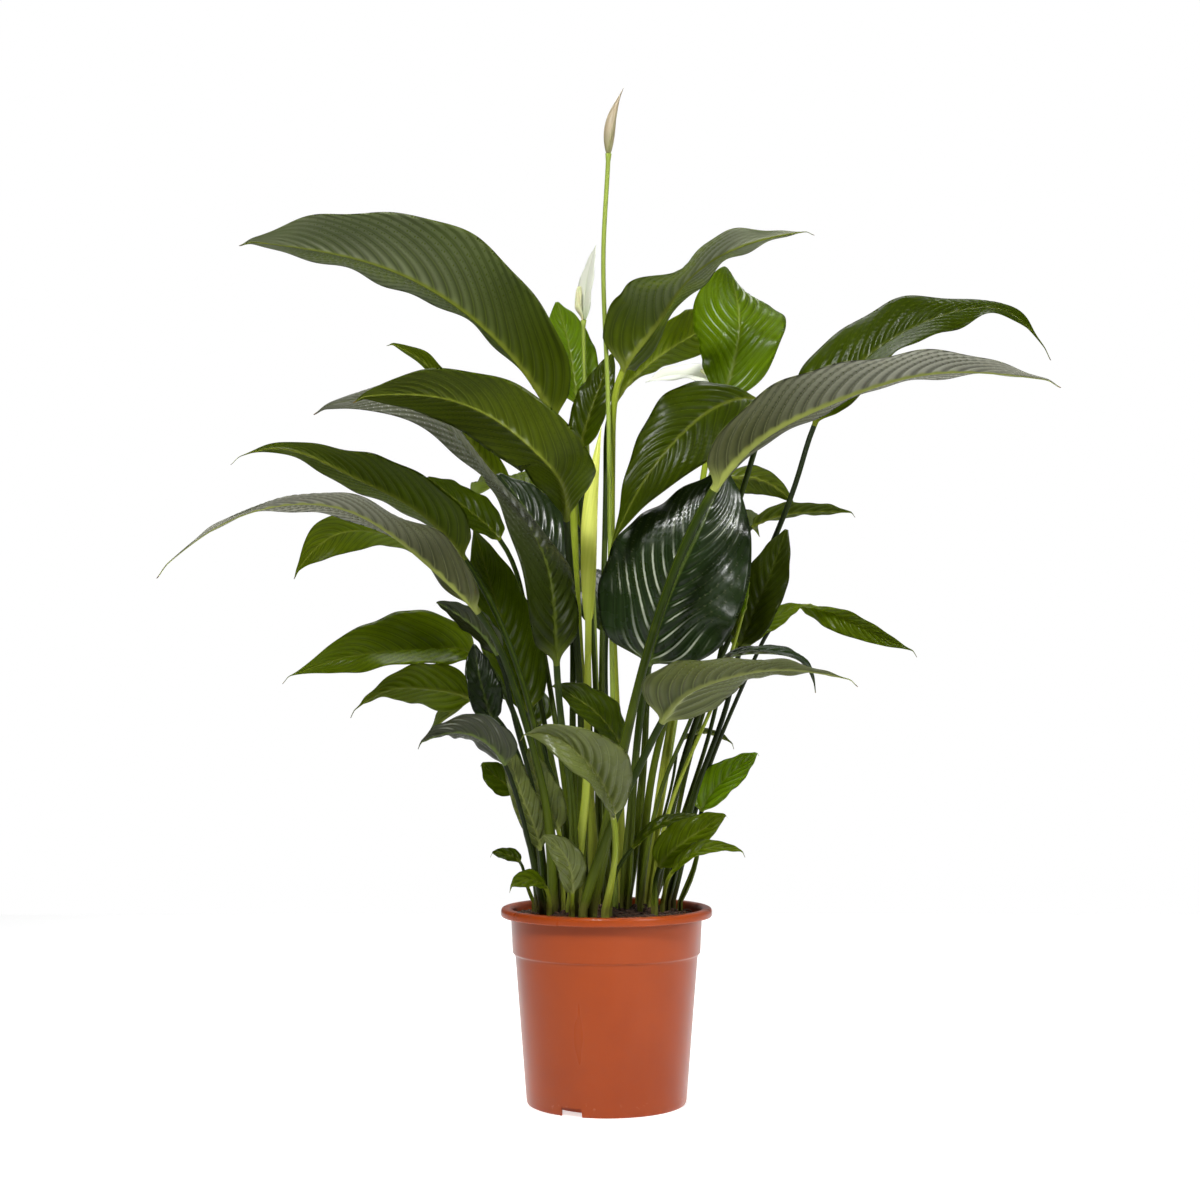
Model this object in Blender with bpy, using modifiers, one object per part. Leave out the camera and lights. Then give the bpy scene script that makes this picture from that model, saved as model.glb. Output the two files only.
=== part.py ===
"""Potted peace lily: a nursery pot, its soil, its leaves and three flowers, in metres, +Z up."""

import math

import bmesh
import bpy
import numpy as np

MM = 0.001

# Pot, in millimetres
POT_HEIGHT = 192
LIP_RADIUS = 105
LIP_DROP = 8.5
NECK_RADIUS = 95
STEP_HEIGHT = 146
STEP_LOW = 143
STEP_HIGH = 147.5
STEP_RADIUS = 93.4
BODY_RADIUS = 90.6
FOOT_RADIUS = 79.2
WALL = 1.6
CHANNEL_RADII = (57, 76)
CHANNEL_HEIGHT = 9
FLOOR = 2
POT_TURNS = 36
NOTCHES = 3
NOTCH_DEPTH = 12
NOTCH_WIDTH = 22
NOTCH_HEIGHT = 8.5
NOTCH_TURN = -25.5
DRAINS = 6
DRAIN_RADIUS = 5
DRAIN_DEPTH = 6
DRAIN_TURNS = 12

# Soil
GAP = 0.3
SOIL_TOP = 183
SOIL_CROWN = 8
SOIL_RINGS = 6
LUMP = 2.2
EDGE_REACH = 12
ROOT_DEPTH = 150
STALK_FOOT = 196
HOLE_CLEARANCE = 0.5

# Leaves
HALF_THICKNESS = 0.6
RIDGE = 1.2
RIDGE_FALL = 0.8
RIDGE_WIDTH = 0.08
RIDGE_REACH = 0.15
FLATTENED_AT = 0.06
CURL = 22
WAVES = 2.5
DRIP = 0.55
DRIP_REACH = 0.09
NIP_REACH = 0.1
MIDDLE = 0.42
FINE_STEPS = 900
MIDRIB_STEPS = 240
COLUMNS = 4
ROW_TURN = 0.4
ROW_REACH = 0.4
BIG_ROWS = (0, 0.05, 0.14, 0.28, 0.44, 0.6, 0.76, 0.9)
SMALL_ROWS = (0, 0.08, 0.25, 0.45, 0.65, 0.85)
BIG_HALF = 25

# The rolled leaf and the flowers
ROLL_SHARES = (0, 0.15, 0.35, 0.55, 0.75, 0.92)
BUD_SHARES = (0, 0.12, 0.3, 0.5, 0.7, 0.85)
SPATHE_SHARES = (0, 0.1, 0.25, 0.42, 0.6, 0.78, 0.92)
SPATHE_BASE = 0.012
SPATHE_BACK = 1.6
STEM_FOOT = 1.3
FLOWER_NECK = 8
FLOWER_SEAT = 3.2
SPADIX_LENGTH = 34
SPADIX_RADIUS = 3.6
SPADIX_START = 1.4
SPADIX_LIFT = 7.5
SPADIX_SHARES = (0, 0.12, 0.3, 0.55, 0.8, 0.93, 1)

# Each leaf: where it leaves the soil (x, y), then the points of its stalk and of its blade from base
# to tip, in millimetres; half is its half width, face the upper side's direction at mid-blade, fold
# how far each half stands up from the midrib in degrees, r the stalk's half thickness, taper the
# outline's rise and fall, twist the turn of base and tip, nip a place along the blade and how much
# further it folds there, wave the height of the margin's waves.
LEAVES = [
    dict(name="leaf_left_01", root=(-11, 16), stem=[(-24, 14, 398), (-32, -8, 558), (-39, -26, 637)],
         blade=[(-50, -35, 671), (-105, -61, 749), (-200, -87, 811), (-354, -105, 839)],
         half=69, face=(0.34, 0.61, 0.72), fold=(31, 50), r=3.8,
         twist=(-6, 4), taper=(0.75, 1.0), wave=4.5),
    dict(name="leaf_left_02", root=(-27, 11), stem=[(-26, -9, 398), (-34, -41, 506)],
         blade=[(-39, -77, 572), (-60, -195, 618), (-100, -187, 652), (-161, -197, 673), (-230, -207, 670)],
         half=41, face=(0.4, 0.72, 0.55), fold=(25, 25), r=3.4, taper=(0.85, 0.9)),
    dict(name="leaf_left_03", root=(-32, -41), stem=[(-34, -67, 301), (-42, -104, 369)],
         blade=[(-47, -132, 430), (-55, -141, 519), (-113, -84, 612), (-188, -152, 676), (-277, -131, 671)],
         half=41, face=(0.11, 0.15, 0.98), fold=(12, 0), r=3.2, twist=(-31, -14), taper=(0.4, 0.65)),
    dict(name="leaf_left_04", root=(-52, 10), stem=[(-59, 5, 298), (-94, -28, 447)],
         blade=[(-139, -41, 536), (-178, -52, 579), (-250, -66, 617), (-325, -73, 642), (-366, -73, 631)],
         half=41, face=(0.47, 0.43, 0.77), fold=(42, 15), r=3, twist=(-22, 30), taper=(0.65, 1.85)),
    dict(name="leaf_left_05", root=(-53, -34), stem=[(-60, -52, 301), (-82, -73, 388), (-102, -97, 447)],
         blade=[(-121, -120, 480), (-170, -144, 528), (-240, -173, 573), (-345, -199, 558),
                (-405, -207, 511)],
         half=46, face=(0.77, 0.45, 0.45), fold=(5, 13), r=3.4,
         twist=(-3, -2), taper=(0.65, 1.8), nip=(0.22, 21)),
    dict(name="leaf_left_06", root=(-49, 36), stem=[(-63, 40, 317), (-110, 52, 450)],
         blade=[(-173, 60, 544), (-225, 77, 572), (-287, 94, 573), (-331, 99, 531)],
         half=28, face=(-0.21, 0.49, 0.84), fold=(0, 3), r=2.6, twist=(-9, 86), taper=(0.55, 0.8)),
    dict(name="leaf_left_07", root=(-61, 0), stem=[(-72, 0, 298), (-98, -11, 398)],
         blade=[(-129, -8, 442), (-188, -42, 447), (-254, -66, 439), (-314, -70, 418)],
         half=42, face=(-0.0, -0.88, 0.48), fold=(52, 20), r=2.8, twist=(-16, -54), taper=(0.85, 1.75)),
    dict(name="leaf_left_08", root=(-67, 30), stem=[(-78, 33, 297), (-103, 32, 368)],
         blade=[(-134, 30, 398), (-179, 21, 410), (-219, 11, 409), (-258, 7, 385)],
         half=30, face=(-0.07, 0.75, 0.66), fold=(18, 21), r=2.4, twist=(39, -13), taper=(0.95, 1.8)),
    dict(name="leaf_left_09", root=(-63, -39), stem=[(-74, -53, 252), (-89, -65, 311)],
         blade=[(-98, -71, 335), (-121, -85, 361), (-148, -94, 367), (-180, -96, 356)],
         half=28, face=(0.15, 0.55, 0.8), fold=(30, 30), r=2.2, taper=(0.55, 1.0)),
    dict(name="leaf_left_10", root=(-65, -15), stem=[(-70, -37, 300), (-92, -54, 388)],
         blade=[(-106, -67, 441), (-133, -68, 473), (-167, -72, 494)],
         half=21, face=(0.3, 0.6, 0.7), fold=(22, 22), r=2.2),
    dict(name="leaf_left_11", root=(-69, -5), stem=[(-86, -13, 299), (-106, -22, 348)],
         blade=[(-113, -28, 376), (-124, -43, 415), (-131, -36, 456)],
         half=20, face=(0.5, -0.8, 0.1), fold=(22, 22), r=2.2),
    dict(name="leaf_left_12", root=(-40, 30), stem=[(-47, 31, 297), (-62, 31, 337)],
         blade=[(-78, 32, 386), (-104, 37, 468), (-137, 35, 578)],
         half=38, face=(0.35, -0.85, 0.3), fold=(30, 12), r=3),
    dict(name="leaf_left_13", root=(-29, 50), stem=[(-48, 61, 347), (-75, 96, 504)],
         blade=[(-102, 105, 611), (-153, 140, 691), (-202, 184, 774), (-246, 200, 801)],
         half=27, face=(0.55, 0.5, 0.65), fold=(22, 22), r=2.8),
    dict(name="leaf_left_14", root=(-17, 29), stem=[(-19, 30, 317), (-27, 31, 419)],
         blade=[(-35, 31, 500), (-68, 37, 573), (-115, 44, 636)],
         half=38, face=(0.3, -0.8, 0.5), fold=(22, 22), r=3),
    dict(name="leaf_left_15", root=(-33, 66), stem=[(-53, 80, 315), (-81, 100, 462)],
         blade=[(-112, 92, 567), (-152, 87, 604), (-191, 79, 635)],
         half=26, face=(0.3, -0.7, 0.6), fold=(22, 22), r=2.6),
    dict(name="leaf_middle_01", root=(16, 30), stem=[(12, 24, 337), (6, 19, 500), (6, 9, 662)],
         blade=[(16, -11, 728), (49, -10, 775), (78, -21, 817), (136, -32, 852), (208, -35, 867)],
         half=61, face=(-0.23, -0.06, 0.97), fold=(23, 41), r=3.4,
         twist=(-26, -37), taper=(0.65, 1.9), nip=(0.48, -27)),
    dict(name="leaf_middle_02", root=(2, 61), stem=[(-4, 74, 336), (-2, 104, 547), (0, 115, 655)],
         blade=[(8, 122, 716), (53, 123, 767), (104, 160, 805), (155, 184, 844)],
         half=30, face=(-0.09, 0.84, 0.54), fold=(45, 7), r=3, twist=(8, -68), taper=(1.0, 0.95)),
    dict(name="leaf_middle_03", root=(41, 49), stem=[(61, 60, 336), (93, 84, 545), (107, 73, 660)],
         blade=[(122, 70, 713), (141, 81, 789), (131, 108, 864)],
         half=50, face=(-0.34, -0.86, 0.38), fold=(0, 1), r=3.2, twist=(24, 88), taper=(0.7, 0.5)),
    dict(name="leaf_middle_04", root=(34, 15), stem=[(49, 12, 338), (94, 0, 478), (145, -26, 637)],
         blade=[(149, -63, 689), (111, -95, 682), (75, -115, 654), (39, -126, 610), (1, -118, 536)],
         half=43, face=(-0.12, -0.98, 0.17), fold=(0, 0), r=2.8, twist=(11, -6), taper=(0.7, 1.65)),
    dict(name="leaf_middle_05", root=(18, -15), stem=[(25, -36, 300), (32, -60, 378)],
         blade=[(40, -84, 431), (58, -99, 493), (91, -104, 564), (117, -87, 627)],
         half=73, face=(-0.12, -0.92, 0.35), fold=(10, 10), r=3.6, taper=(0.55, 1.0)),
    dict(name="leaf_middle_06", root=(-13, 64), stem=[(-17, 78, 336), (-21, 104, 547)],
         blade=[(-31, 108, 714), (-39, 126, 776), (-55, 154, 839)],
         half=28, face=(0.1, -0.75, 0.5), fold=(22, 22), r=2.6),
    dict(name="leaf_middle_07", root=(-6, 35), stem=[(-9, 45, 337), (-17, 58, 502), (-27, 67, 607)],
         blade=[(-27, 70, 660), (-14, 72, 708), (8, 89, 769)],
         half=21, face=(-0.3, -0.9, 0.2), fold=(22, 22), r=2.4),
    dict(name="leaf_right_01", root=(49, 25), stem=[(85, 31, 357), (163, 37, 542), (199, 35, 634)],
         blade=[(214, 35, 680), (259, 32, 742), (327, 21, 785), (400, 0, 794), (446, -21, 743)],
         half=51, face=(0.5, -0.32, 0.8), fold=(48, 5), r=2.8,
         twist=(8, -9), taper=(0.65, 1.7), nip=(0.66, -20)),
    dict(name="leaf_right_02", root=(-14, -54), stem=[(6, -82, 302), (31, -119, 416), (57, -150, 503)],
         blade=[(98, -171, 590), (136, -196, 632), (198, -228, 662), (277, -262, 682), (390, -289, 670)],
         half=46, face=(-0.41, 0.44, 0.8), fold=(31, 25), r=4.2, twist=(-4, 1), taper=(0.6, 1.1)),
    dict(name="leaf_right_03", root=(32, 44), stem=[(50, 53, 337), (87, 64, 502)],
         blade=[(123, 56, 627), (161, 67, 628), (202, 94, 603)],
         half=18, face=(-0.06, 1.0, 0.02), fold=(38, 40), r=2, twist=(-48, 35), taper=(0.6, 1.35)),
    dict(name="leaf_right_04", root=(59, 44), stem=[(87, 78, 336), (126, 95, 483)],
         blade=[(155, 103, 582), (205, 91, 597), (263, 87, 596)],
         half=18, face=(0, 0.35, 0.92), fold=(22, 22), r=2),
    dict(name="leaf_right_05", root=(61, 5), stem=[(93, -6, 318), (121, -16, 398)],
         blade=[(133, -30, 451), (155, -39, 506), (179, -45, 570)],
         half=27, face=(-0.35, -0.85, 0.35), fold=(22, 22), r=2.6),
    dict(name="leaf_right_06", root=(43, -12), stem=[(65, -22, 299), (106, -47, 398)],
         blade=[(131, -72, 480), (136, -80, 508), (135, -84, 535)],
         half=9, face=(-0.9, -0.3, 0.3), fold=(22, 22), r=1.9),
    dict(name="leaf_right_07", root=(68, 30), stem=[(101, 49, 316), (150, 75, 430)],
         blade=[(202, 95, 497), (260, 74, 478), (320, 47, 447)],
         half=17, face=(-0.52, -0.82, -0.24), fold=(43, 36), r=2.2,
         twist=(44, 3), taper=(0.6, 1.25), nip=(0.3, 11)),
    dict(name="leaf_right_08", root=(51, 54), stem=[(92, 70, 315), (112, 48, 388)],
         blade=[(133, 53, 450), (170, 59, 481), (207, 67, 499)],
         half=20, face=(0.0, -0.6, 0.75), fold=(22, 22), r=2.2),
    dict(name="leaf_right_09", root=(-23, -68), stem=[(6, -92, 282), (31, -116, 336)],
         blade=[(51, -142, 377), (69, -166, 401), (97, -190, 415), (154, -213, 425), (223, -218, 414)],
         half=44, face=(-0.38, 0.68, 0.63), fold=(30, 1), r=3.6, twist=(-28, 0), taper=(0.7, 1.85)),
    dict(name="leaf_right_10", root=(33, -20), stem=[(57, -40, 320), (85, -66, 388)],
         blade=[(110, -90, 436), (150, -106, 443), (187, -116, 431), (197, -116, 409)],
         half=18, face=(0, -0.2, 0.95), fold=(22, 22), r=2.2),
    dict(name="leaf_right_11", root=(33, 59), stem=[(61, 63, 285), (71, 59, 331)],
         blade=[(76, 48, 355), (108, 72, 364), (134, 86, 352)],
         half=9, face=(0, 0.3, 0.95), fold=(22, 22), r=1.6),
    dict(name="leaf_right_12", root=(74, 10), stem=[(92, 15, 247)],
         blade=[(96, 22, 285), (118, 32, 315), (157, 48, 346)],
         half=22, face=(-0.3, -0.7, 0.6), fold=(22, 22), r=2.2),
    dict(name="leaf_right_13", root=(47, -40), stem=[],
         blade=[(52, -39, 234), (81, -43, 263), (118, -50, 288)],
         half=24, face=(-0.3, -0.75, 0.55), fold=(22, 22), r=2.6),
    dict(name="leaf_right_14", root=(3, -50), stem=[(11, -66, 236)],
         blade=[(25, -74, 256), (51, -83, 279), (89, -87, 289)],
         half=10, face=(-0.3, -0.5, 0.8), fold=(22, 22), r=2),
    dict(name="leaf_right_15", root=(55, -10), stem=[(58, -40, 217)],
         blade=[(63, -59, 231), (92, -70, 254), (133, -74, 252)],
         half=13, face=(0.0, -0.45, 0.85), fold=(22, 22), r=2),
    dict(name="leaf_low_01", root=(-53, 53), stem=[(-78, 46, 245), (-86, 32, 281)],
         blade=[(-93, 22, 305), (-110, 17, 319), (-127, 12, 336)],
         half=18, face=(0.3, -0.8, 0.4), fold=(22, 22), r=1.9),
    dict(name="leaf_low_02", root=(-73, 5), stem=[(-81, 5, 218)],
         blade=[(-87, 8, 236), (-101, 12, 243), (-117, 16, 245)],
         half=9, face=(0.1, -0.7, 0.7), fold=(22, 22), r=1.6),
    dict(name="leaf_low_03", root=(-56, -49), stem=[],
         blade=[(-59, -62, 217), (-74, -72, 225), (-93, -82, 219)],
         half=13, face=(0.1, -0.6, 0.75), fold=(22, 22), r=2.2),
    dict(name="leaf_low_04", root=(-2, -73), stem=[(8, -108, 256)],
         blade=[(6, -124, 287), (-5, -146, 319), (-26, -170, 348), (-52, -179, 366), (-80, -166, 365)],
         half=34, face=(0.68, -0.72, 0.13), fold=(49, 52), r=2.8, twist=(-2, -49), taper=(0.85, 1.5)),
    dict(name="leaf_low_05", root=(22, 10), stem=[(25, -10, 269), (23, -22, 319)],
         blade=[(15, -60, 351), (-11, -88, 386), (-54, -104, 413)],
         half=26, face=(0.3, -0.7, 0.6), fold=(22, 22), r=2.6),
    dict(name="leaf_low_06", root=(-34, -66), stem=[],
         blade=[(-33, -82, 214), (-37, -92, 244), (-62, -103, 271)],
         half=17, face=(0.35, -0.8, 0.4), fold=(22, 22), r=2.2),
    dict(name="leaf_low_07", root=(-57, -22), stem=[(-61, -29, 211)],
         blade=[(-65, -37, 251), (-83, -50, 305), (-99, -54, 364)],
         half=15, face=(0.4, -0.85, 0.2), fold=(22, 22), r=2.2),
    dict(name="leaf_low_08", root=(-44, -10), stem=[(-44, -12, 230)],
         blade=[(-48, -14, 269), (-66, -21, 309), (-77, -34, 354)],
         half=20, face=(0.3, -0.85, 0.3), fold=(22, 22), r=2.2),
    dict(name="leaf_back_01", root=(-23, 69), stem=[(-35, 96, 350)],
         blade=[(-45, 161, 560), (-95, 256, 650), (-165, 352, 640)],
         half=53, face=(0.2, -0.6, 0.8), fold=(22, 22), r=3.2),
    dict(name="leaf_back_02", root=(23, 69), stem=[(40, 96, 340)],
         blade=[(60, 169, 520), (120, 264, 610), (185, 357, 600)],
         half=51, face=(-0.3, -0.6, 0.8), fold=(22, 22), r=3.2),
    dict(name="leaf_back_03", root=(4, 73), stem=[(3, 101, 300)],
         blade=[(0, 168, 470), (12, 270, 540), (22, 356, 500)],
         half=47, face=(0.0, -0.4, 0.9), fold=(22, 22), r=3),
    dict(name="leaf_back_04", root=(-45, 58), stem=[(-58, 84, 260)],
         blade=[(-72, 145, 370), (-130, 223, 410), (-205, 278, 360)],
         half=36, face=(0.2, -0.3, 0.9), fold=(22, 22), r=2.6),
]

NEW_LEAF = dict(name="new_leaf", root=(-36, -29), stem=[(-21, -41, 300), (-19, -49, 398)],
    blade=[(-18, -53, 476), (-16, -56, 584), (-5, -52, 668)],
    half=8, face=(0, -1, 0.1), fold=(22, 22), r=3.2, kind="roll")

FLOWERS = [
    dict(name="flower_1", root=(9, -5), stem=[(6, -11, 398), (3, -17, 598), (1, -11, 720), (-3, -23, 850)],
         blade=[(2, -26, 947), (6, -26, 986), (18, -26, 1016)],
         half=6, face=(0, -1, 0.1), fold=(22, 22), r=2.3, kind="bud"),
    dict(name="flower_2", root=(-3, 49), stem=[(-13, 79, 503), (-21, 91, 695)],
         blade=[(-24, 90, 802), (-22, 84, 838), (-12, 77, 880)],
         half=13, face=(-0.75, -0.6, 0.15), fold=(15, 15), r=2, kind="spathe"),
    dict(name="flower_3", root=(40, 63), stem=[(91, 139, 506), (117, 173, 652)],
         blade=[(132, 194, 742), (94, 198, 763), (44, 196, 755)],
         half=25, face=(0, -0.5, 0.8), fold=(22, 22), r=2, kind="spathe"),
]


def natural_spline(points):
    """Return the knots and a function for the smooth curve through the points."""
    count = len(points)
    steps = np.linalg.norm(np.diff(points, axis=0), axis=1)
    matrix = np.eye(count)
    right = np.zeros((count, 3))
    for i in range(1, count - 1):
        matrix[i, i - 1:i + 2] = steps[i - 1], 2 * (steps[i - 1] + steps[i]), steps[i]
        ahead = (points[i + 1] - points[i]) / steps[i]
        behind = (points[i] - points[i - 1]) / steps[i - 1]
        right[i] = 6 * (ahead - behind)
    bends = np.linalg.solve(matrix, right)
    knots = np.concatenate([[0], np.cumsum(steps)])

    def curve(s):
        i = np.clip(np.searchsorted(knots, s) - 1, 0, count - 2)
        span = steps[i][:, None]
        before = (knots[i + 1] - s)[:, None] / span
        after = (s - knots[i])[:, None] / span
        straight = before * points[i] + after * points[i + 1]
        curved = (before ** 3 - before) * bends[i] + (after ** 3 - after) * bends[i + 1]
        return straight + curved * span ** 2 / 6

    return knots, curve


def unit(vectors):
    """Scale each vector to length one."""
    return vectors / np.linalg.norm(vectors, axis=-1, keepdims=True)


def smooth(x):
    """Ease from 0 to 1."""
    x = np.clip(x, 0, 1)
    return x * x * (3 - 2 * x)


class Midrib:
    """The line of a leaf from the soil to its tip, with a sideways and an upper direction at each place."""

    def __init__(self, leaf):
        rooted = [(*leaf["root"], STALK_FOOT)]
        points = np.array(rooted + leaf["stem"] + leaf["blade"], float) * MM
        knots, curve = natural_spline(points)
        fine = np.linspace(0, knots[-1], FINE_STEPS)
        line = curve(fine)
        arc = np.concatenate([[0], np.cumsum(np.linalg.norm(np.diff(line, axis=0), axis=1))])
        self.length = arc[-1]
        self.blade_start = np.interp(knots[1 + len(leaf["stem"])], fine, arc)
        self.s = np.linspace(0, self.length, MIDRIB_STEPS)
        self.place = np.stack([np.interp(self.s, arc, line[:, i]) for i in range(3)], 1)
        self.along = unit(np.gradient(self.place, self.s, axis=0))
        self.upper = self.carry_upper(np.array(leaf["face"], float))
        share = (self.s - self.blade_start) / (self.length - self.blade_start)
        base_twist, tip_twist = leaf.get("twist", (0, 0))
        turn = base_twist * smooth(1 - share / MIDDLE) + tip_twist * smooth((share - MIDDLE) / (1 - MIDDLE))
        turn = np.radians(turn)[:, None]
        self.upper = self.upper * np.cos(turn) + np.cross(self.along, self.upper) * np.sin(turn)
        self.side = np.cross(self.along, self.upper)

    def carry_upper(self, face):
        """Carry the upper direction both ways from the blade's middle without turning about the line."""
        middle = int(np.searchsorted(self.s, self.blade_start + MIDDLE * (self.length - self.blade_start)))
        upper = np.zeros_like(self.along)
        upper[middle] = unit(face - self.along[middle] * (face @ self.along[middle]))
        for step in (1, -1):
            last = len(self.s) - 1 if step == 1 else 0
            for i in range(middle, last, step):
                move = self.place[i + step] - self.place[i]
                normal = upper[i] - move * (2 * (move @ upper[i]) / (move @ move))
                tangent = self.along[i] - move * (2 * (move @ self.along[i]) / (move @ move))
                swing = self.along[i + step] - tangent
                if swing @ swing > 1e-18:
                    normal = normal - swing * (2 * (swing @ normal) / (swing @ swing))
                ahead = self.along[i + step]
                upper[i + step] = unit(normal - ahead * (normal @ ahead))
        return upper

    def frame(self, s):
        """Place, sideways and upper direction at distance s along the line."""
        rows = []
        for values in (self.place, self.side, self.upper):
            rows.append(np.stack([np.interp(s, self.s, values[:, i]) for i in range(3)], -1))
        return rows[0], unit(rows[1]), unit(rows[2])


def blade_outline(leaf, t):
    """Half width at share t of the blade, as a share of the widest."""
    rise, fall = leaf.get("taper", (0.55, 0.9))
    widest = rise / (rise + fall)
    rest = np.clip(1 - t, 0, 1)
    drip_tip = 1 - DRIP * np.exp(-(rest / DRIP_REACH) ** 1.5)
    return (t / widest) ** rise * (rest / (1 - widest)) ** fall * drip_tip


def blade_section(leaf, t, v):
    """The blade's middle surface at share t, for v from -1 to 1 across: x, z and lean in radians."""
    half = leaf["half"] * MM * blade_outline(leaf, t)
    nip_share, nip = leaf.get("nip", (0.5, 0))
    nipped = np.radians(nip) * np.exp(-((t - nip_share) / NIP_REACH) ** 2)
    left, right = (np.radians(fold) * (1 - 0.35 * t) + nipped for fold in leaf["fold"])
    bend = 1.4 * np.radians(CURL)
    start = np.where(v < 0, left, right) + 0.4 * np.radians(CURL)
    out = np.abs(v)
    lean = start - bend * out
    x = (np.sin(start) - np.sin(lean)) / bend * half
    z = (np.cos(lean) - np.cos(start)) / bend * half
    height = leaf.get("wave", 0.06 * leaf["half"]) * MM * np.minimum(1.3 * blade_outline(leaf, t), 1)
    z = z + height * np.sin(WAVES * math.tau * t + np.where(v < 0, 0.0, 2.1)) * out ** 2
    side = np.where(v < 0, -1.0, 1.0)
    ridge_lean = (right - left) / 2
    lean = ridge_lean + (lean * side - ridge_lean) * smooth(out / RIDGE_REACH)
    return x * side, z, lean


def stalk_radii(leaf, midrib, s):
    """Half width and half thickness of the stalk: a sheath at the soil, slim at the blade."""
    slim = leaf["r"] * MM
    sheath = 1 - smooth(s / (0.6 * midrib.blade_start))
    wide = slim * (1 + 0.7 * sheath) * (1 - 0.25 * smooth(1 - s / (30 * MM)))
    thick = slim * (1 + 0.25 * sheath)
    return wide, thick


def ring(plant, midrib, s):
    """One closed ring round the stalk or blade: over the top from left to right, back below."""
    over = np.linspace(-1, 1, COLUMNS + 1)
    v = np.concatenate([over, over[-2:0:-1]])
    face = np.where(np.arange(2 * COLUMNS) <= COLUMNS, 1.0, -1.0)
    place, side, upper = midrib.frame(np.array(s))
    wide, thick = stalk_radii(plant, midrib, min(s, midrib.blade_start))
    angle = np.radians(90 - 90 * v) * face
    x = wide * np.cos(angle)
    z = thick * np.sin(angle)
    t = (s - midrib.blade_start) / (midrib.length - midrib.blade_start)
    if t > 0:
        blade_x, blade_z, lean = blade_section(plant, np.full(len(v), t), v)
        ridge = RIDGE * plant["r"] * MM * (1 - t) ** RIDGE_FALL * np.exp(-(v / RIDGE_WIDTH) ** 2)
        out = (HALF_THICKNESS * MM * np.sqrt(1 - v ** 2) + ridge * (face < 0)) * face
        flat = smooth(t / FLATTENED_AT)
        x = x * (1 - flat) + (blade_x - out * np.sin(lean)) * flat
        z = z * (1 - flat) + (blade_z + out * np.cos(lean)) * flat
    return place + x[:, None] * side + z[:, None] * upper


def stalk_rows(midrib):
    """Distances for the stalk's rings, closer together where it bends."""
    stalk = midrib.s[midrib.s < midrib.blade_start]
    turn = np.linalg.norm(np.diff(midrib.along[:len(stalk)], axis=0), axis=1)
    need = np.concatenate([[0], np.cumsum(turn + np.diff(stalk) / ROW_REACH)])
    rows = max(2, math.ceil(need[-1] / ROW_TURN))
    return list(np.interp(np.linspace(0, need[-1], rows, endpoint=False), need, stalk))


def planted(first_ring):
    """Carry a stalk's first ring straight down into the soil: the buried end and the collar above it."""
    rings = []
    for height in (ROOT_DEPTH, STALK_FOOT):
        level = first_ring.copy()
        level[:, 2] = height * MM
        rings.append(level)
    return rings


def loft(name, rings, material, tip=None):
    """A closed mesh through rings of points, with a flat start and a pointed or flat end."""
    mesh = bmesh.new()
    rows = [[mesh.verts.new(point) for point in points] for points in rings]
    count = len(rows[0])
    for low, high in zip(rows, rows[1:]):
        for k in range(count):
            after = (k + 1) % count
            if k < count // 2:
                mesh.faces.new((low[k], low[after], high[after]))
                mesh.faces.new((low[k], high[after], high[k]))
            else:
                mesh.faces.new((low[k], low[after], high[k]))
                mesh.faces.new((low[after], high[after], high[k]))
    mesh.faces.new(rows[0][::-1])
    if tip is None:
        mesh.faces.new(rows[-1])
    else:
        point = mesh.verts.new(tip)
        for k in range(count):
            mesh.faces.new((rows[-1][k], rows[-1][(k + 1) % count], point))
    return finish_mesh(name, mesh, material)


def finish_mesh(name, mesh, material):
    """Turn a bmesh into a named object with its faces pointing out."""
    bmesh.ops.recalc_face_normals(mesh, faces=mesh.faces)
    data = bpy.data.meshes.new(name)
    mesh.to_mesh(data)
    mesh.free()
    data.shade_smooth()
    data.set_sharp_from_angle(angle=math.radians(40))
    data.materials.append(material)
    made = bpy.data.objects.new(name, data)
    PLANT.objects.link(made)
    return made


def make_leaf(leaf, material):
    """One leaf: its stalk from the soil and its waved blade."""
    midrib = Midrib(leaf)
    shares = BIG_ROWS if leaf["half"] > BIG_HALF else SMALL_ROWS
    blade = midrib.length - midrib.blade_start
    rows = stalk_rows(midrib) + [midrib.blade_start + share * blade for share in shares]
    rings = [ring(leaf, midrib, s) for s in rows]
    rings = planted(rings[0]) + rings[1:]
    loft(leaf["name"], rings, material, tip=midrib.place[-1])
    return rings[0]


def tube_ring(midrib, s, wide, thick, lift=0.0):
    """A ring round the line, raised towards its upper side by lift."""
    place, side, upper = midrib.frame(np.array(s))
    angle = np.radians(180 - np.arange(2 * COLUMNS) * 180 / COLUMNS)
    x = wide * np.cos(angle)
    z = thick * np.sin(angle) + lift
    return place + x[:, None] * side + z[:, None] * upper


def make_rolled_leaf(leaf, material):
    """The newest leaf, still rolled into a spindle."""
    midrib = Midrib(leaf)
    blade = midrib.length - midrib.blade_start
    rings = [ring(leaf, midrib, s) for s in stalk_rows(midrib)]
    for share in ROLL_SHARES:
        wide = leaf["half"] * MM * (0.42 + 0.58 * math.sin(math.pi * share ** 0.7)) * (1 - share ** 6)
        rings.append(tube_ring(midrib, midrib.blade_start + share * blade, wide, 0.7 * wide))
    rings = planted(rings[0]) + rings[1:]
    loft(leaf["name"], rings, material, tip=midrib.place[-1])
    return rings[0]


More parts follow.
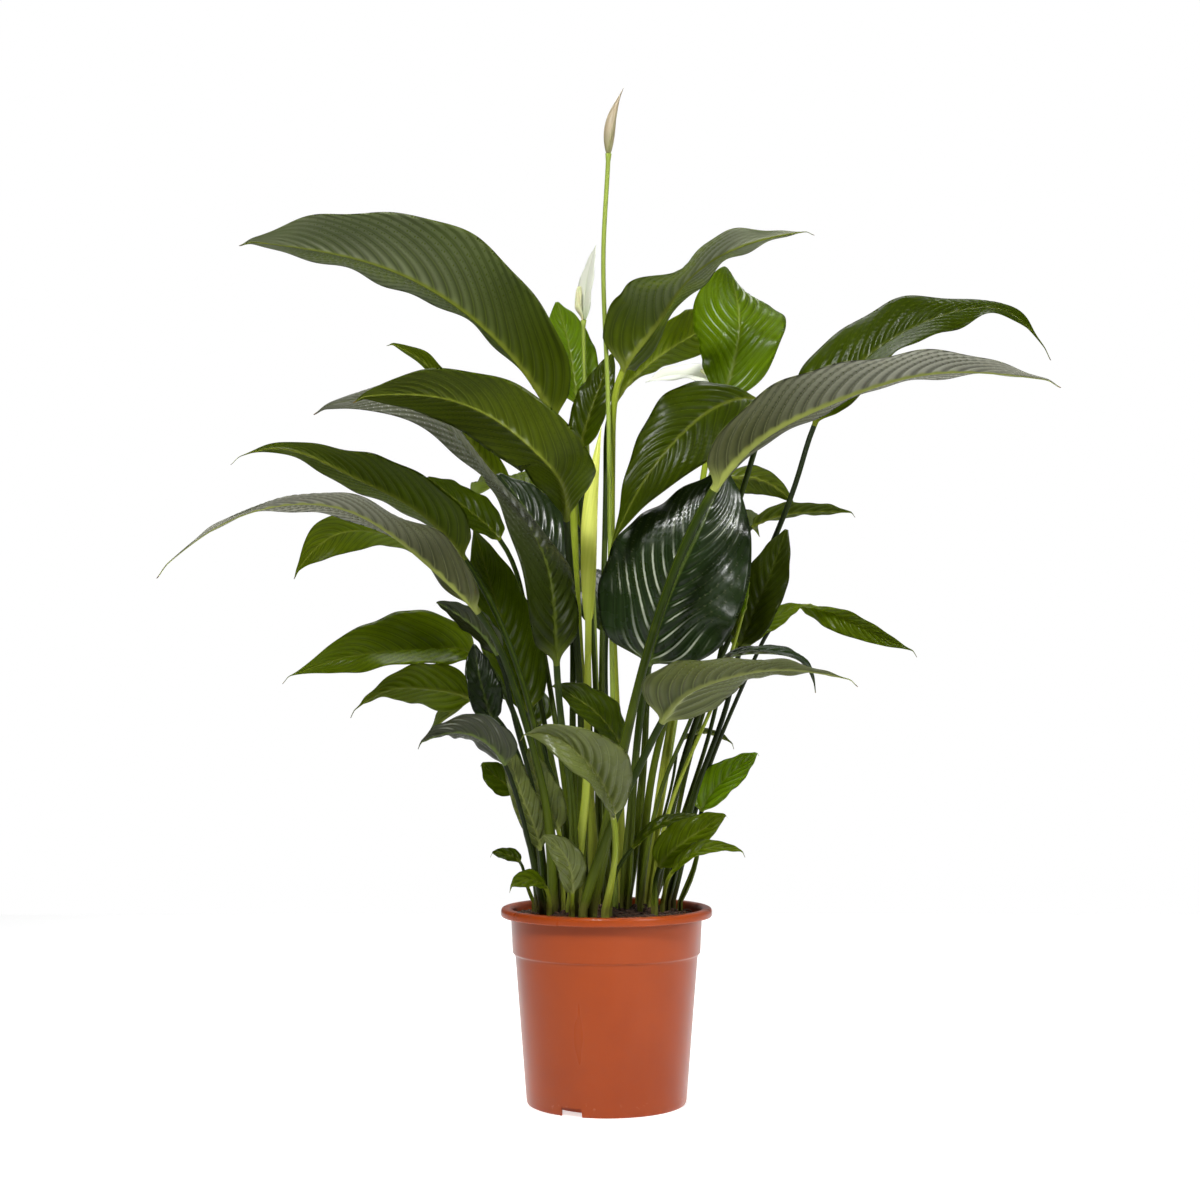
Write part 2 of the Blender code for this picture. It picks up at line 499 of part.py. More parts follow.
def make_flower_stem(flower, midrib, material):
    """A flower's round stem, a little wider at its top."""
    rows = stalk_rows(midrib) + [midrib.blade_start - FLOWER_NECK * MM]
    slim = flower["r"] * MM
    rings = [tube_ring(midrib, rows[0], STEM_FOOT * slim, STEM_FOOT * slim)]
    rings += [tube_ring(midrib, s, slim, slim) for s in rows[1:]]
    rings.append(tube_ring(midrib, midrib.blade_start, FLOWER_SEAT * MM, FLOWER_SEAT * MM))
    rings = planted(rings[0]) + rings[1:]
    loft(flower["name"] + "_stem", rings, material)
    return rings[0]


def make_bud(flower, midrib, material):
    """A spathe still wrapped into a pointed bud on the stem's top."""
    length = midrib.length - midrib.blade_start
    rings = []
    for share in BUD_SHARES:
        s = midrib.blade_start + GAP * MM + share * (length - GAP * MM)
        wide = flower["half"] * MM * (0.35 + 0.65 * math.sin(math.pi * min(share * 1.15, 1) ** 0.8))
        wide = wide * (1 - share ** 3)
        rings.append(tube_ring(midrib, s, wide, wide))
    loft(flower["name"] + "_spathe", rings, material, tip=midrib.place[-1])


def make_spathe(flower, midrib, material):
    """An open spathe: a cupped bract that starts behind the spadix."""
    length = midrib.length - midrib.blade_start
    over = np.linspace(-1, 1, COLUMNS + 1)
    v = np.concatenate([over, over[-2:0:-1]])
    face = np.where(np.arange(2 * COLUMNS) <= COLUMNS, 1.0, -1.0)
    rings = []
    for share in SPATHE_SHARES:
        t = SPATHE_BASE + share * (1 - SPATHE_BASE)
        place, side, upper = midrib.frame(np.array(midrib.blade_start + GAP * MM + share * length))
        x, z, lean = blade_section(flower, np.full(len(v), t), v)
        out = HALF_THICKNESS * MM * np.sqrt(1 - v ** 2) * face
        x = x - out * np.sin(lean)
        z = z + out * np.cos(lean) - SPATHE_BACK * MM
        rings.append(place + x[:, None] * side + z[:, None] * upper)
    place, side, upper = midrib.frame(np.array(midrib.length))
    loft(flower["name"] + "_spathe", rings, material, tip=place - SPATHE_BACK * MM * upper)


def make_spadix(flower, midrib, material):
    """The blunt spike of tiny flowers in front of the spathe."""
    rings = []
    for share in SPADIX_SHARES:
        s = midrib.blade_start + GAP * MM + share * SPADIX_LENGTH * MM
        lift = (SPADIX_START + (SPADIX_LIFT - SPADIX_START) * smooth(share / 0.4)) * MM
        wide = SPADIX_RADIUS * MM * (0.35 + 0.65 * smooth(share / 0.35)) * math.sqrt(1 - (0.95 * share) ** 6)
        rings.append(tube_ring(midrib, s, wide, wide, lift))
    loft(flower["name"] + "_spadix", rings, material)


def make_flower(flower, colours):
    """One flower: its stem, its spathe and, where it is open, its spadix."""
    midrib = Midrib(flower)
    root = make_flower_stem(flower, midrib, colours["petiole"])
    if flower["kind"] == "bud":
        make_bud(flower, midrib, colours["spathe"])
    else:
        make_spathe(flower, midrib, colours["spathe"])
        make_spadix(flower, midrib, colours["spadix"])
    return root


def turned(name, outline, material):
    """A solid turned about Z from an outline of radius and height in millimetres."""
    data = bpy.data.meshes.new(name)
    points = [(radius * MM, 0, height * MM) for radius, height in outline]
    data.from_pydata(points, [(i, i + 1) for i in range(len(points) - 1)], [])
    data.materials.append(material)
    made = bpy.data.objects.new(name, data)
    PLANT.objects.link(made)
    screw = made.modifiers.new("turn", "SCREW")
    screw.steps = POT_TURNS
    screw.render_steps = POT_TURNS
    screw.use_merge_vertices = True
    screw.merge_threshold = 0.00001
    screw.use_smooth_shade = True
    return made


def applied(made):
    """Apply an object's modifiers to its mesh."""
    graph = bpy.context.evaluated_depsgraph_get()
    data = bpy.data.meshes.new_from_object(made.evaluated_get(graph))
    made.modifiers.clear()
    made.data = data
    return made


def cut(made, cutters):
    """Cut a collection of solids out of an object."""
    boolean = made.modifiers.new("cut", "BOOLEAN")
    boolean.operation = "DIFFERENCE"
    boolean.operand_type = "COLLECTION"
    boolean.collection = cutters
    boolean.solver = "EXACT"


def new_cutters(name):
    """A collection for solids that only cut."""
    made = bpy.data.collections.new(name)
    bpy.context.scene.collection.children.link(made)
    return made


def hide_cutter(cutter, cutters):
    """Keep a cutting solid out of the model."""
    for home in list(cutter.users_collection):
        home.objects.unlink(cutter)
    cutters.objects.link(cutter)
    cutter.hide_render = True
    cutter.display_type = "WIRE"


def inner_radius(height):
    """Radius of the pot's inner wall at a height."""
    heights = (CHANNEL_HEIGHT + FLOOR, STEP_LOW, STEP_HIGH, POT_HEIGHT - LIP_DROP)
    foot = FOOT_RADIUS + (BODY_RADIUS - FOOT_RADIUS) * heights[0] / heights[1]
    radii = (foot, BODY_RADIUS, STEP_RADIUS, NECK_RADIUS)
    return float(np.interp(height, heights, radii)) - WALL


def make_pot(material):
    """The nursery pot: a flat floor, a raised drain channel, a stepped wall and a rolled lip."""
    roof = CHANNEL_HEIGHT + FLOOR
    top = POT_HEIGHT
    lip = LIP_RADIUS
    inside, outside = CHANNEL_RADII
    outline = [
        (0, FLOOR), (inside, FLOOR), (inside + 3, roof), (inner_radius(roof), roof),
        (inner_radius(STEP_LOW), STEP_LOW), (inner_radius(STEP_HIGH), STEP_HIGH),
        (inner_radius(top - LIP_DROP), top - LIP_DROP),
        (NECK_RADIUS - 0.6, top - 2.5), (NECK_RADIUS + 1, top - 0.5), (NECK_RADIUS + 3, top),
        (lip - 2.5, top), (lip - 0.6, top - 1), (lip, top - 3), (lip, top - LIP_DROP + 1),
        (lip - 0.5, top - LIP_DROP), (lip - 1.6, top - LIP_DROP), (lip - 2, top - 3.2),
        (NECK_RADIUS + 2.2, top - 3.4), (NECK_RADIUS + 0.2, top - LIP_DROP),
        (STEP_RADIUS, STEP_HIGH), (BODY_RADIUS + 0.6, STEP_HEIGHT), (BODY_RADIUS, STEP_LOW),
        (FOOT_RADIUS + 0.3, 4), (FOOT_RADIUS - 0.5, 0.8), (FOOT_RADIUS - 1.6, 0),
        (outside + 0.4, 0), (outside + 0.2, CHANNEL_HEIGHT), (inside + 4.4, CHANNEL_HEIGHT),
        (inside + 1, 0), (0, 0),
    ]
    pot = turned("pot", outline, material)
    cutters = new_cutters("pot_cutters")
    for turn in range(NOTCHES):
        angle = math.radians(NOTCH_TURN - 90 + turn * 360 / NOTCHES)
        place = (FOOT_RADIUS * MM * math.cos(angle), FOOT_RADIUS * MM * math.sin(angle), 0)
        bpy.ops.mesh.primitive_cube_add(size=1, location=place, rotation=(0, 0, angle))
        notch = bpy.context.object
        notch.name = "notch_cutter_%d" % (turn + 1)
        notch.scale = (NOTCH_DEPTH * MM, NOTCH_WIDTH * MM, 2 * NOTCH_HEIGHT * MM)
        hide_cutter(notch, cutters)
    for turn in range(DRAINS):
        angle = math.radians(NOTCH_TURN + turn * 360 / DRAINS)
        middle = (inside + 4 + outside) / 2 * MM
        place = (middle * math.cos(angle), middle * math.sin(angle), (CHANNEL_HEIGHT + 1) * MM)
        bpy.ops.mesh.primitive_cylinder_add(
            vertices=DRAIN_TURNS, radius=DRAIN_RADIUS * MM, depth=DRAIN_DEPTH * MM, location=place)
        drain = bpy.context.object
        drain.name = "drain_cutter_%d" % (turn + 1)
        hide_cutter(drain, cutters)
    cut(pot, cutters)


def soil_height(x, y):
    """Height of the lumpy soil at a place, in millimetres."""
    radius = math.hypot(x, y)
    crown = SOIL_CROWN * math.cos(min(radius / NECK_RADIUS, 1) * math.pi / 2)
    lumps = math.sin(x / 5.3 + 1.7 * math.sin(y / 7.1)) * math.sin(y / 4.7 + 1.3 * math.sin(x / 8.3))
    return SOIL_TOP + crown + LUMP * lumps * smooth((NECK_RADIUS - WALL - radius) / EDGE_REACH)


def make_soil(roots, material):
    """The soil: it fills the pot, with a lumpy top and a plain hole round every stalk."""
    edge = inner_radius(SOIL_TOP) - GAP
    roof = CHANNEL_HEIGHT + FLOOR + GAP
    inside = CHANNEL_RADII[0]
    outline = [(edge * share / SOIL_RINGS, SOIL_TOP) for share in range(SOIL_RINGS + 1)]
    outline += [
        (inner_radius(STEP_HIGH) - GAP, STEP_HIGH), (inner_radius(STEP_LOW) - GAP, STEP_LOW),
        (inner_radius(roof) - GAP, roof), (inside + 3 - GAP, roof),
        (inside - GAP, FLOOR + GAP), (0, FLOOR + GAP),
    ]
    soil = applied(turned("soil", outline, material))
    for vertex in soil.data.vertices:
        if vertex.co.z > (SOIL_TOP - 1) * MM:
            vertex.co.z = soil_height(vertex.co.x / MM, vertex.co.y / MM) * MM
    cutters = new_cutters("root_cutters")
    for number, root in enumerate(roots, 1):
        middle = root.mean(axis=0)
        reach = root - middle
        reach = reach * (1 + HOLE_CLEARANCE * MM / np.linalg.norm(reach, axis=1, keepdims=True))
        ends = [middle + reach, middle + reach]
        ends[0][:, 2] = (ROOT_DEPTH - HOLE_CLEARANCE) * MM
        ends[1][:, 2] = (STALK_FOOT + GAP) * MM
        hide_cutter(loft("root_cutter_%02d" % number, ends, material), cutters)
    cut(soil, cutters)


def plain_material(name, colour, roughness):
    """A simple Principled material."""
    made = bpy.data.materials.new(name)
    made.use_nodes = True
    shader = made.node_tree.nodes["Principled BSDF"]
    shader.inputs["Base Color"].default_value = (*colour, 1)
    shader.inputs["Roughness"].default_value = roughness
    shader.inputs["Metallic"].default_value = 0
    return made


for old in list(bpy.data.objects):
    bpy.data.objects.remove(old)
PLANT = bpy.data.collections.new("potted_peace_lily")
bpy.context.scene.collection.children.link(PLANT)

COLOURS = {
    "terracotta_plastic": plain_material("terracotta_plastic", (0.45, 0.084, 0.026), 0.38),
    "soil": plain_material("soil", (0.022, 0.013, 0.009), 0.95),
    "leaf": plain_material("leaf", (0.03, 0.09, 0.012), 0.32),
    "young_leaf": plain_material("young_leaf", (0.35, 0.45, 0.06), 0.4),
    "petiole": plain_material("petiole", (0.2, 0.33, 0.05), 0.4),
    "spathe": plain_material("spathe", (0.8, 0.82, 0.68), 0.45),
    "spadix": plain_material("spadix", (0.75, 0.74, 0.45), 0.7),
}

stalks = [make_leaf(leaf, COLOURS["leaf"]) for leaf in LEAVES]
stalks.append(make_rolled_leaf(NEW_LEAF, COLOURS["young_leaf"]))
stalks += [make_flower(flower, COLOURS) for flower in FLOWERS]
make_soil(stalks, COLOURS["soil"])
make_pot(COLOURS["terracotta_plastic"])
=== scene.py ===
"""The looks of the potted peace lily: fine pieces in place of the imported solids, in metres."""

import math
import random

import bpy
import numpy as np
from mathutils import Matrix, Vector, noise


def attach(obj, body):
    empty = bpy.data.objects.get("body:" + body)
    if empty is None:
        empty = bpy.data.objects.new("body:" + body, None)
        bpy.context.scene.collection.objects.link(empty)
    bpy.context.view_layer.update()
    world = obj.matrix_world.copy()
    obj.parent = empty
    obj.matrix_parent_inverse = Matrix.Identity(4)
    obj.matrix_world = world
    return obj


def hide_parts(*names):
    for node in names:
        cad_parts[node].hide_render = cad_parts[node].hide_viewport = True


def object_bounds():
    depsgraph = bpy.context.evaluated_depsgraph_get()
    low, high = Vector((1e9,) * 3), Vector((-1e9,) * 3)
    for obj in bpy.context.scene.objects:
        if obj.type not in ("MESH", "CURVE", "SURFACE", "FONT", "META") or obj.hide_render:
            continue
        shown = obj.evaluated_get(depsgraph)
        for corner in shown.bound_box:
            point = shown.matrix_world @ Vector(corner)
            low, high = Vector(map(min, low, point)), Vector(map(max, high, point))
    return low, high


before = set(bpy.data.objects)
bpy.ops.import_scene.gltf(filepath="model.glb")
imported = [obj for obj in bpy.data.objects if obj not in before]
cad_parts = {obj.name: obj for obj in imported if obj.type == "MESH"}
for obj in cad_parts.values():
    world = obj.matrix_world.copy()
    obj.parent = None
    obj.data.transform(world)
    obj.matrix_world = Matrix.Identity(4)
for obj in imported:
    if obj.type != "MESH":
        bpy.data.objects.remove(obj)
cad_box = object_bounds()

MM = 0.001
SEED = 11

# Leaves and flowers, as the solids have them: millimetres, degrees, shares and counts
STALK_FOOT = 196
ROOT_DEPTH = 150
FOLD = 22
CURL = 22
WAVES = 2.5
DRIP = 0.55
DRIP_REACH = 0.09
NIP_REACH = 0.1
RIDGE_REACH = 0.15
MIDDLE = 0.42
FINE_STEPS = 900
MIDRIB_STEPS = 240
SPATHE_BASE = 0.012
SPATHE_BACK = 1.6
FLOWER_SEAT = 3.2
GAP = 0.3
SPADIX_LENGTH = 34
SPADIX_RADIUS = 3.6
SPADIX_START = 1.4
SPADIX_LIFT = 7.5

# The fine surface of the leaves
SHEET = 0.35
ROW_PITCH = 2.5
SMALL_HALF = 35
SMALL_PITCH = 0.8
LAST_ROW = 0.997
COLUMNS = 9
COLUMN_WIDTH = 6
STALK_PITCH = 13
SHEATH_SHARE = 0.6
LEAF_SHIFT = 1.7
VEIN_PITCH = 11
VEIN_GROWTH = 0.08
VEIN_SWEEP = 1.5
VEIN_RELIEF = 0.17
RIPPLE = 0.03
RIPPLES = 5.5
HOOK = 5
HOOK_START = 0.95

# The fine surface of the flowers and the rolled leaf
STEM_PITCH = 8
STEM_POINTS = 20
ROLL_ROWS = 90
ROLL_POINTS = 37
BUD_ROWS = 80
BUD_POINTS = 33
SPATHE_ROWS = 70
SPATHE_COLUMNS = 12
SPADIX_ROWS = 110
SPADIX_POINTS = 56
SPIRALS = (8, 13)

# Pot and soil, in millimetres
POT_HEIGHT = 192
LIP_RADIUS = 105
LIP_DROP = 8.5
NECK_RADIUS = 95
STEP_HEIGHT = 146
STEP_LOW = 143
STEP_HIGH = 147.5
STEP_RADIUS = 93.4
BODY_RADIUS = 90.6
FOOT_RADIUS = 79.2
WALL = 1.6
CHANNEL_RADII = (57, 76)
CHANNEL_HEIGHT = 9
FLOOR = 2
NOTCHES = 3
NOTCH_DEPTH = 12
NOTCH_WIDTH = 22
NOTCH_HEIGHT = 8.5
NOTCH_TURN = -25.5
DRAIN_RADIUS = 5
DRAIN_DEPTH = 6
DRAINS = 6
POT_TURNS = 144
POT_ROUNDING = 1.2
SHARP_ANGLE = 40
SOIL_TOP = 183
SOIL_CROWN = 8
LUMP = 2.2
EDGE_REACH = 12
SOIL_STEPS = 48
SOIL_TURNS = 160
CRUMBS = 900
CRUMB_REACH = 89
CRUMB_SIZES = (0.7, 2.6)
LARGE_SHARE = 0.06
LARGE = 1.6
FIBRE_SHARE = 0.12
POT_TOP = POT_HEIGHT * MM

# Light
BACK_LIGHT = 0.35
FRONT_LIGHT = 0.02
FRONT_EDGE = -0.3
BACK_EDGE = 0.25
LEFT_LIGHT = 0.2
LEFT_EDGE = -0.9
RIGHT_EDGE = 0.3
FLOOR_SIZE = 3.4
FLOOR_GLOW = 0.64

# Each light: its place, what it faces, its size, its power and how far it spreads in degrees
LIGHTS = {
    "key": ((1.5, -1.5, 1.3), (0, 0, 0.4), (0.8, 1.2), 25, 180),
    "sky": ((-0.2, 0.9, 2.3), (0, 0, 0.5), (1.6, 1.0), 30, 180),
    "spark": ((-0.35, -1.5, 1.85), (0.05, 0, 0.6), (0.3, 0.7), 4, 44),
}

# Camera
SENSOR = 36
LENS = 56.7
CAMERA_PLACE = (-0.0065, -1.9, 0.39)
CAMERA_TILT = 3.27

# The painted silvery reflection on a leaf's outer part, its share on the upper side, and painted glints
# between veins
PAINTED_SHEEN = (0.46, 0.465, 0.37)
PAINTED_SHEEN_ABOVE = 0.35
GLINT = (0.5, 0.54, 0.4)

# Each leaf, as in the solids: where it leaves the soil (x, y), then the points of its stalk and of its blade
# from base to tip, in millimetres; half is its half width, face the upper side's direction at mid-blade,
# fold how far each half stands up from the midrib in degrees (else FOLD), r the stalk's half thickness,
# taper the outline's rise and fall, twist the turn of base and tip, nip a place along the blade and how
# much further it folds there, wave the height of the margin's waves.
LEAVES = [
    dict(name="leaf_left_01", root=(-11, 16), stem=[(-24, 14, 398), (-32, -8, 558), (-39, -26, 637)],
         blade=[(-50, -35, 671), (-105, -61, 749), (-200, -87, 811), (-354, -105, 839)],
         half=69, face=(0.34, 0.61, 0.72), fold=(31, 50), r=3.8,
         twist=(-6, 4), taper=(0.75, 1.0), wave=4.5),
    dict(name="leaf_left_02", root=(-27, 11), stem=[(-26, -9, 398), (-34, -41, 506)],
         blade=[(-39, -77, 572), (-60, -195, 618), (-100, -187, 652), (-161, -197, 673), (-230, -207, 670)],
         half=41, face=(0.4, 0.72, 0.55), fold=(25, 25), r=3.4, taper=(0.85, 0.9)),
    dict(name="leaf_left_03", root=(-32, -41), stem=[(-34, -67, 301), (-42, -104, 369)],
         blade=[(-47, -132, 430), (-55, -141, 519), (-113, -84, 612), (-188, -152, 676), (-277, -131, 671)],
         half=41, face=(0.11, 0.15, 0.98), fold=(12, 0), r=3.2, twist=(-31, -14), taper=(0.4, 0.65)),
    dict(name="leaf_left_04", root=(-52, 10), stem=[(-59, 5, 298), (-94, -28, 447)],
         blade=[(-139, -41, 536), (-178, -52, 579), (-250, -66, 617), (-325, -73, 642), (-366, -73, 631)],
         half=41, face=(0.47, 0.43, 0.77), fold=(42, 15), r=3, twist=(-22, 30), taper=(0.65, 1.85)),
    dict(name="leaf_left_05", root=(-53, -34), stem=[(-60, -52, 301), (-82, -73, 388), (-102, -97, 447)],
         blade=[(-121, -120, 480), (-170, -144, 528), (-240, -173, 573), (-345, -199, 558),
                (-405, -207, 511)],
         half=46, face=(0.77, 0.45, 0.45), fold=(5, 13), r=3.4,
         twist=(-3, -2), taper=(0.65, 1.8), nip=(0.22, 21)),
    dict(name="leaf_left_06", root=(-49, 36), stem=[(-63, 40, 317), (-110, 52, 450)],
         blade=[(-173, 60, 544), (-225, 77, 572), (-287, 94, 573), (-331, 99, 531)],
         half=28, face=(-0.21, 0.49, 0.84), fold=(0, 3), r=2.6, twist=(-9, 86), taper=(0.55, 0.8)),
    dict(name="leaf_left_07", root=(-61, 0), stem=[(-72, 0, 298), (-98, -11, 398)],
         blade=[(-129, -8, 442), (-188, -42, 447), (-254, -66, 439), (-314, -70, 418)],
         half=42, face=(-0.0, -0.88, 0.48), fold=(52, 20), r=2.8, twist=(-16, -54), taper=(0.85, 1.75)),
    dict(name="leaf_left_08", root=(-67, 30), stem=[(-78, 33, 297), (-103, 32, 368)],
         blade=[(-134, 30, 398), (-179, 21, 410), (-219, 11, 409), (-258, 7, 385)],
         half=30, face=(-0.07, 0.75, 0.66), fold=(18, 21), r=2.4, twist=(39, -13), taper=(0.95, 1.8)),
    dict(name="leaf_left_09", root=(-63, -39), stem=[(-74, -53, 252), (-89, -65, 311)],
         blade=[(-98, -71, 335), (-121, -85, 361), (-148, -94, 367), (-180, -96, 356)],
         half=28, face=(0.15, 0.55, 0.8), fold=(30, 30), r=2.2, taper=(0.55, 1.0)),
    dict(name="leaf_left_10", root=(-65, -15), stem=[(-70, -37, 300), (-92, -54, 388)],
         blade=[(-106, -67, 441), (-133, -68, 473), (-167, -72, 494)],
         half=21, face=(0.3, 0.6, 0.7), r=2.2),
    dict(name="leaf_left_11", root=(-69, -5), stem=[(-86, -13, 299), (-106, -22, 348)],
         blade=[(-113, -28, 376), (-124, -43, 415), (-131, -36, 456)],
         half=20, face=(0.5, -0.8, 0.1), r=2.2),
    dict(name="leaf_left_12", root=(-40, 30), stem=[(-47, 31, 297), (-62, 31, 337)],
         blade=[(-78, 32, 386), (-104, 37, 468), (-137, 35, 578)],
         half=38, face=(0.35, -0.85, 0.3), fold=(30, 12), r=3),
    dict(name="leaf_left_13", root=(-29, 50), stem=[(-48, 61, 347), (-75, 96, 504)],
         blade=[(-102, 105, 611), (-153, 140, 691), (-202, 184, 774), (-246, 200, 801)],
         half=27, face=(0.55, 0.5, 0.65), r=2.8),
    dict(name="leaf_left_14", root=(-17, 29), stem=[(-19, 30, 317), (-27, 31, 419)],
         blade=[(-35, 31, 500), (-68, 37, 573), (-115, 44, 636)],
         half=38, face=(0.3, -0.8, 0.5), r=3),
    dict(name="leaf_left_15", root=(-33, 66), stem=[(-53, 80, 315), (-81, 100, 462)],
         blade=[(-112, 92, 567), (-152, 87, 604), (-191, 79, 635)],
         half=26, face=(0.3, -0.7, 0.6), r=2.6),
    dict(name="leaf_middle_01", root=(16, 30), stem=[(12, 24, 337), (6, 19, 500), (6, 9, 662)],
         blade=[(16, -11, 728), (49, -10, 775), (78, -21, 817), (136, -32, 852), (208, -35, 867)],
         half=61, face=(-0.23, -0.06, 0.97), fold=(23, 41), r=3.4,
         twist=(-26, -37), taper=(0.65, 1.9), nip=(0.48, -27)),
    dict(name="leaf_middle_02", root=(2, 61), stem=[(-4, 74, 336), (-2, 104, 547), (0, 115, 655)],
         blade=[(8, 122, 716), (53, 123, 767), (104, 160, 805), (155, 184, 844)],
         half=30, face=(-0.09, 0.84, 0.54), fold=(45, 7), r=3, twist=(8, -68), taper=(1.0, 0.95)),
    dict(name="leaf_middle_03", root=(41, 49), stem=[(61, 60, 336), (93, 84, 545), (107, 73, 660)],
         blade=[(122, 70, 713), (141, 81, 789), (131, 108, 864)],
         half=50, face=(-0.34, -0.86, 0.38), fold=(0, 1), r=3.2, twist=(24, 88), taper=(0.7, 0.5)),
    dict(name="leaf_middle_04", root=(34, 15), stem=[(49, 12, 338), (94, 0, 478), (145, -26, 637)],
         blade=[(149, -63, 689), (111, -95, 682), (75, -115, 654), (39, -126, 610), (1, -118, 536)],
         half=43, face=(-0.12, -0.98, 0.17), fold=(0, 0), r=2.8, twist=(11, -6), taper=(0.7, 1.65)),
    dict(name="leaf_middle_05", root=(18, -15), stem=[(25, -36, 300), (32, -60, 378)],
         blade=[(40, -84, 431), (58, -99, 493), (91, -104, 564), (117, -87, 627)],
         half=73, face=(-0.12, -0.92, 0.35), fold=(10, 10), r=3.6, taper=(0.55, 1.0)),
    dict(name="leaf_middle_06", root=(-13, 64), stem=[(-17, 78, 336), (-21, 104, 547)],
         blade=[(-31, 108, 714), (-39, 126, 776), (-55, 154, 839)],
         half=28, face=(0.1, -0.75, 0.5), r=2.6),
    dict(name="leaf_middle_07", root=(-6, 35), stem=[(-9, 45, 337), (-17, 58, 502), (-27, 67, 607)],
         blade=[(-27, 70, 660), (-14, 72, 708), (8, 89, 769)],
         half=21, face=(-0.3, -0.9, 0.2), r=2.4),
    dict(name="leaf_right_01", root=(49, 25), stem=[(85, 31, 357), (163, 37, 542), (199, 35, 634)],
         blade=[(214, 35, 680), (259, 32, 742), (327, 21, 785), (400, 0, 794), (446, -21, 743)],
         half=51, face=(0.5, -0.32, 0.8), fold=(48, 5), r=2.8,
         twist=(8, -9), taper=(0.65, 1.7), nip=(0.66, -20)),
    dict(name="leaf_right_02", root=(-14, -54), stem=[(6, -82, 302), (31, -119, 416), (57, -150, 503)],
         blade=[(98, -171, 590), (136, -196, 632), (198, -228, 662), (277, -262, 682), (390, -289, 670)],
         half=46, face=(-0.41, 0.44, 0.8), fold=(31, 25), r=4.2, twist=(-4, 1), taper=(0.6, 1.1)),
    dict(name="leaf_right_03", root=(32, 44), stem=[(50, 53, 337), (87, 64, 502)],
         blade=[(123, 56, 627), (161, 67, 628), (202, 94, 603)],
         half=18, face=(-0.06, 1.0, 0.02), fold=(38, 40), r=2, twist=(-48, 35), taper=(0.6, 1.35)),
    dict(name="leaf_right_04", root=(59, 44), stem=[(87, 78, 336), (126, 95, 483)],
         blade=[(155, 103, 582), (205, 91, 597), (263, 87, 596)],
         half=18, face=(0, 0.35, 0.92), r=2),
    dict(name="leaf_right_05", root=(61, 5), stem=[(93, -6, 318), (121, -16, 398)],
         blade=[(133, -30, 451), (155, -39, 506), (179, -45, 570)],
         half=27, face=(-0.35, -0.85, 0.35), r=2.6),
    dict(name="leaf_right_06", root=(43, -12), stem=[(65, -22, 299), (106, -47, 398)],
         blade=[(131, -72, 480), (136, -80, 508), (135, -84, 535)],
         half=9, face=(-0.9, -0.3, 0.3), r=1.9),
    dict(name="leaf_right_07", root=(68, 30), stem=[(101, 49, 316), (150, 75, 430)],
         blade=[(202, 95, 497), (260, 74, 478), (320, 47, 447)],
         half=17, face=(-0.52, -0.82, -0.24), fold=(43, 36), r=2.2,
         twist=(44, 3), taper=(0.6, 1.25), nip=(0.3, 11)),
    dict(name="leaf_right_08", root=(51, 54), stem=[(92, 70, 315), (112, 48, 388)],
         blade=[(133, 53, 450), (170, 59, 481), (207, 67, 499)],
         half=20, face=(0.0, -0.6, 0.75), r=2.2),
    dict(name="leaf_right_09", root=(-23, -68), stem=[(6, -92, 282), (31, -116, 336)],
         blade=[(51, -142, 377), (69, -166, 401), (97, -190, 415), (154, -213, 425), (223, -218, 414)],
         half=44, face=(-0.38, 0.68, 0.63), fold=(30, 1), r=3.6, twist=(-28, 0), taper=(0.7, 1.85)),
    dict(name="leaf_right_10", root=(33, -20), stem=[(57, -40, 320), (85, -66, 388)],
         blade=[(110, -90, 436), (150, -106, 443), (187, -116, 431), (197, -116, 409)],
         half=18, face=(0, -0.2, 0.95), r=2.2),
    dict(name="leaf_right_11", root=(33, 59), stem=[(61, 63, 285), (71, 59, 331)],
         blade=[(76, 48, 355), (108, 72, 364), (134, 86, 352)],
         half=9, face=(0, 0.3, 0.95), r=1.6),
    dict(name="leaf_right_12", root=(74, 10), stem=[(92, 15, 247)],
         blade=[(96, 22, 285), (118, 32, 315), (157, 48, 346)],
         half=22, face=(-0.3, -0.7, 0.6), r=2.2),
    dict(name="leaf_right_13", root=(47, -40), stem=[],
         blade=[(52, -39, 234), (81, -43, 263), (118, -50, 288)],
         half=24, face=(-0.3, -0.75, 0.55), r=2.6),
    dict(name="leaf_right_14", root=(3, -50), stem=[(11, -66, 236)],
         blade=[(25, -74, 256), (51, -83, 279), (89, -87, 289)],
         half=10, face=(-0.3, -0.5, 0.8), r=2),
    dict(name="leaf_right_15", root=(55, -10), stem=[(58, -40, 217)],
         blade=[(63, -59, 231), (92, -70, 254), (133, -74, 252)],
         half=13, face=(0.0, -0.45, 0.85), r=2),
    dict(name="leaf_low_01", root=(-53, 53), stem=[(-78, 46, 245), (-86, 32, 281)],
         blade=[(-93, 22, 305), (-110, 17, 319), (-127, 12, 336)],
         half=18, face=(0.3, -0.8, 0.4), r=1.9),
    dict(name="leaf_low_02", root=(-73, 5), stem=[(-81, 5, 218)],
         blade=[(-87, 8, 236), (-101, 12, 243), (-117, 16, 245)],
         half=9, face=(0.1, -0.7, 0.7), r=1.6),
    dict(name="leaf_low_03", root=(-56, -49), stem=[],
         blade=[(-59, -62, 217), (-74, -72, 225), (-93, -82, 219)],
         half=13, face=(0.1, -0.6, 0.75), r=2.2),
    dict(name="leaf_low_04", root=(-2, -73), stem=[(8, -108, 256)],
         blade=[(6, -124, 287), (-5, -146, 319), (-26, -170, 348), (-52, -179, 366), (-80, -166, 365)],
         half=34, face=(0.68, -0.72, 0.13), fold=(49, 52), r=2.8, twist=(-2, -49), taper=(0.85, 1.5)),
    dict(name="leaf_low_05", root=(22, 10), stem=[(25, -10, 269), (23, -22, 319)],
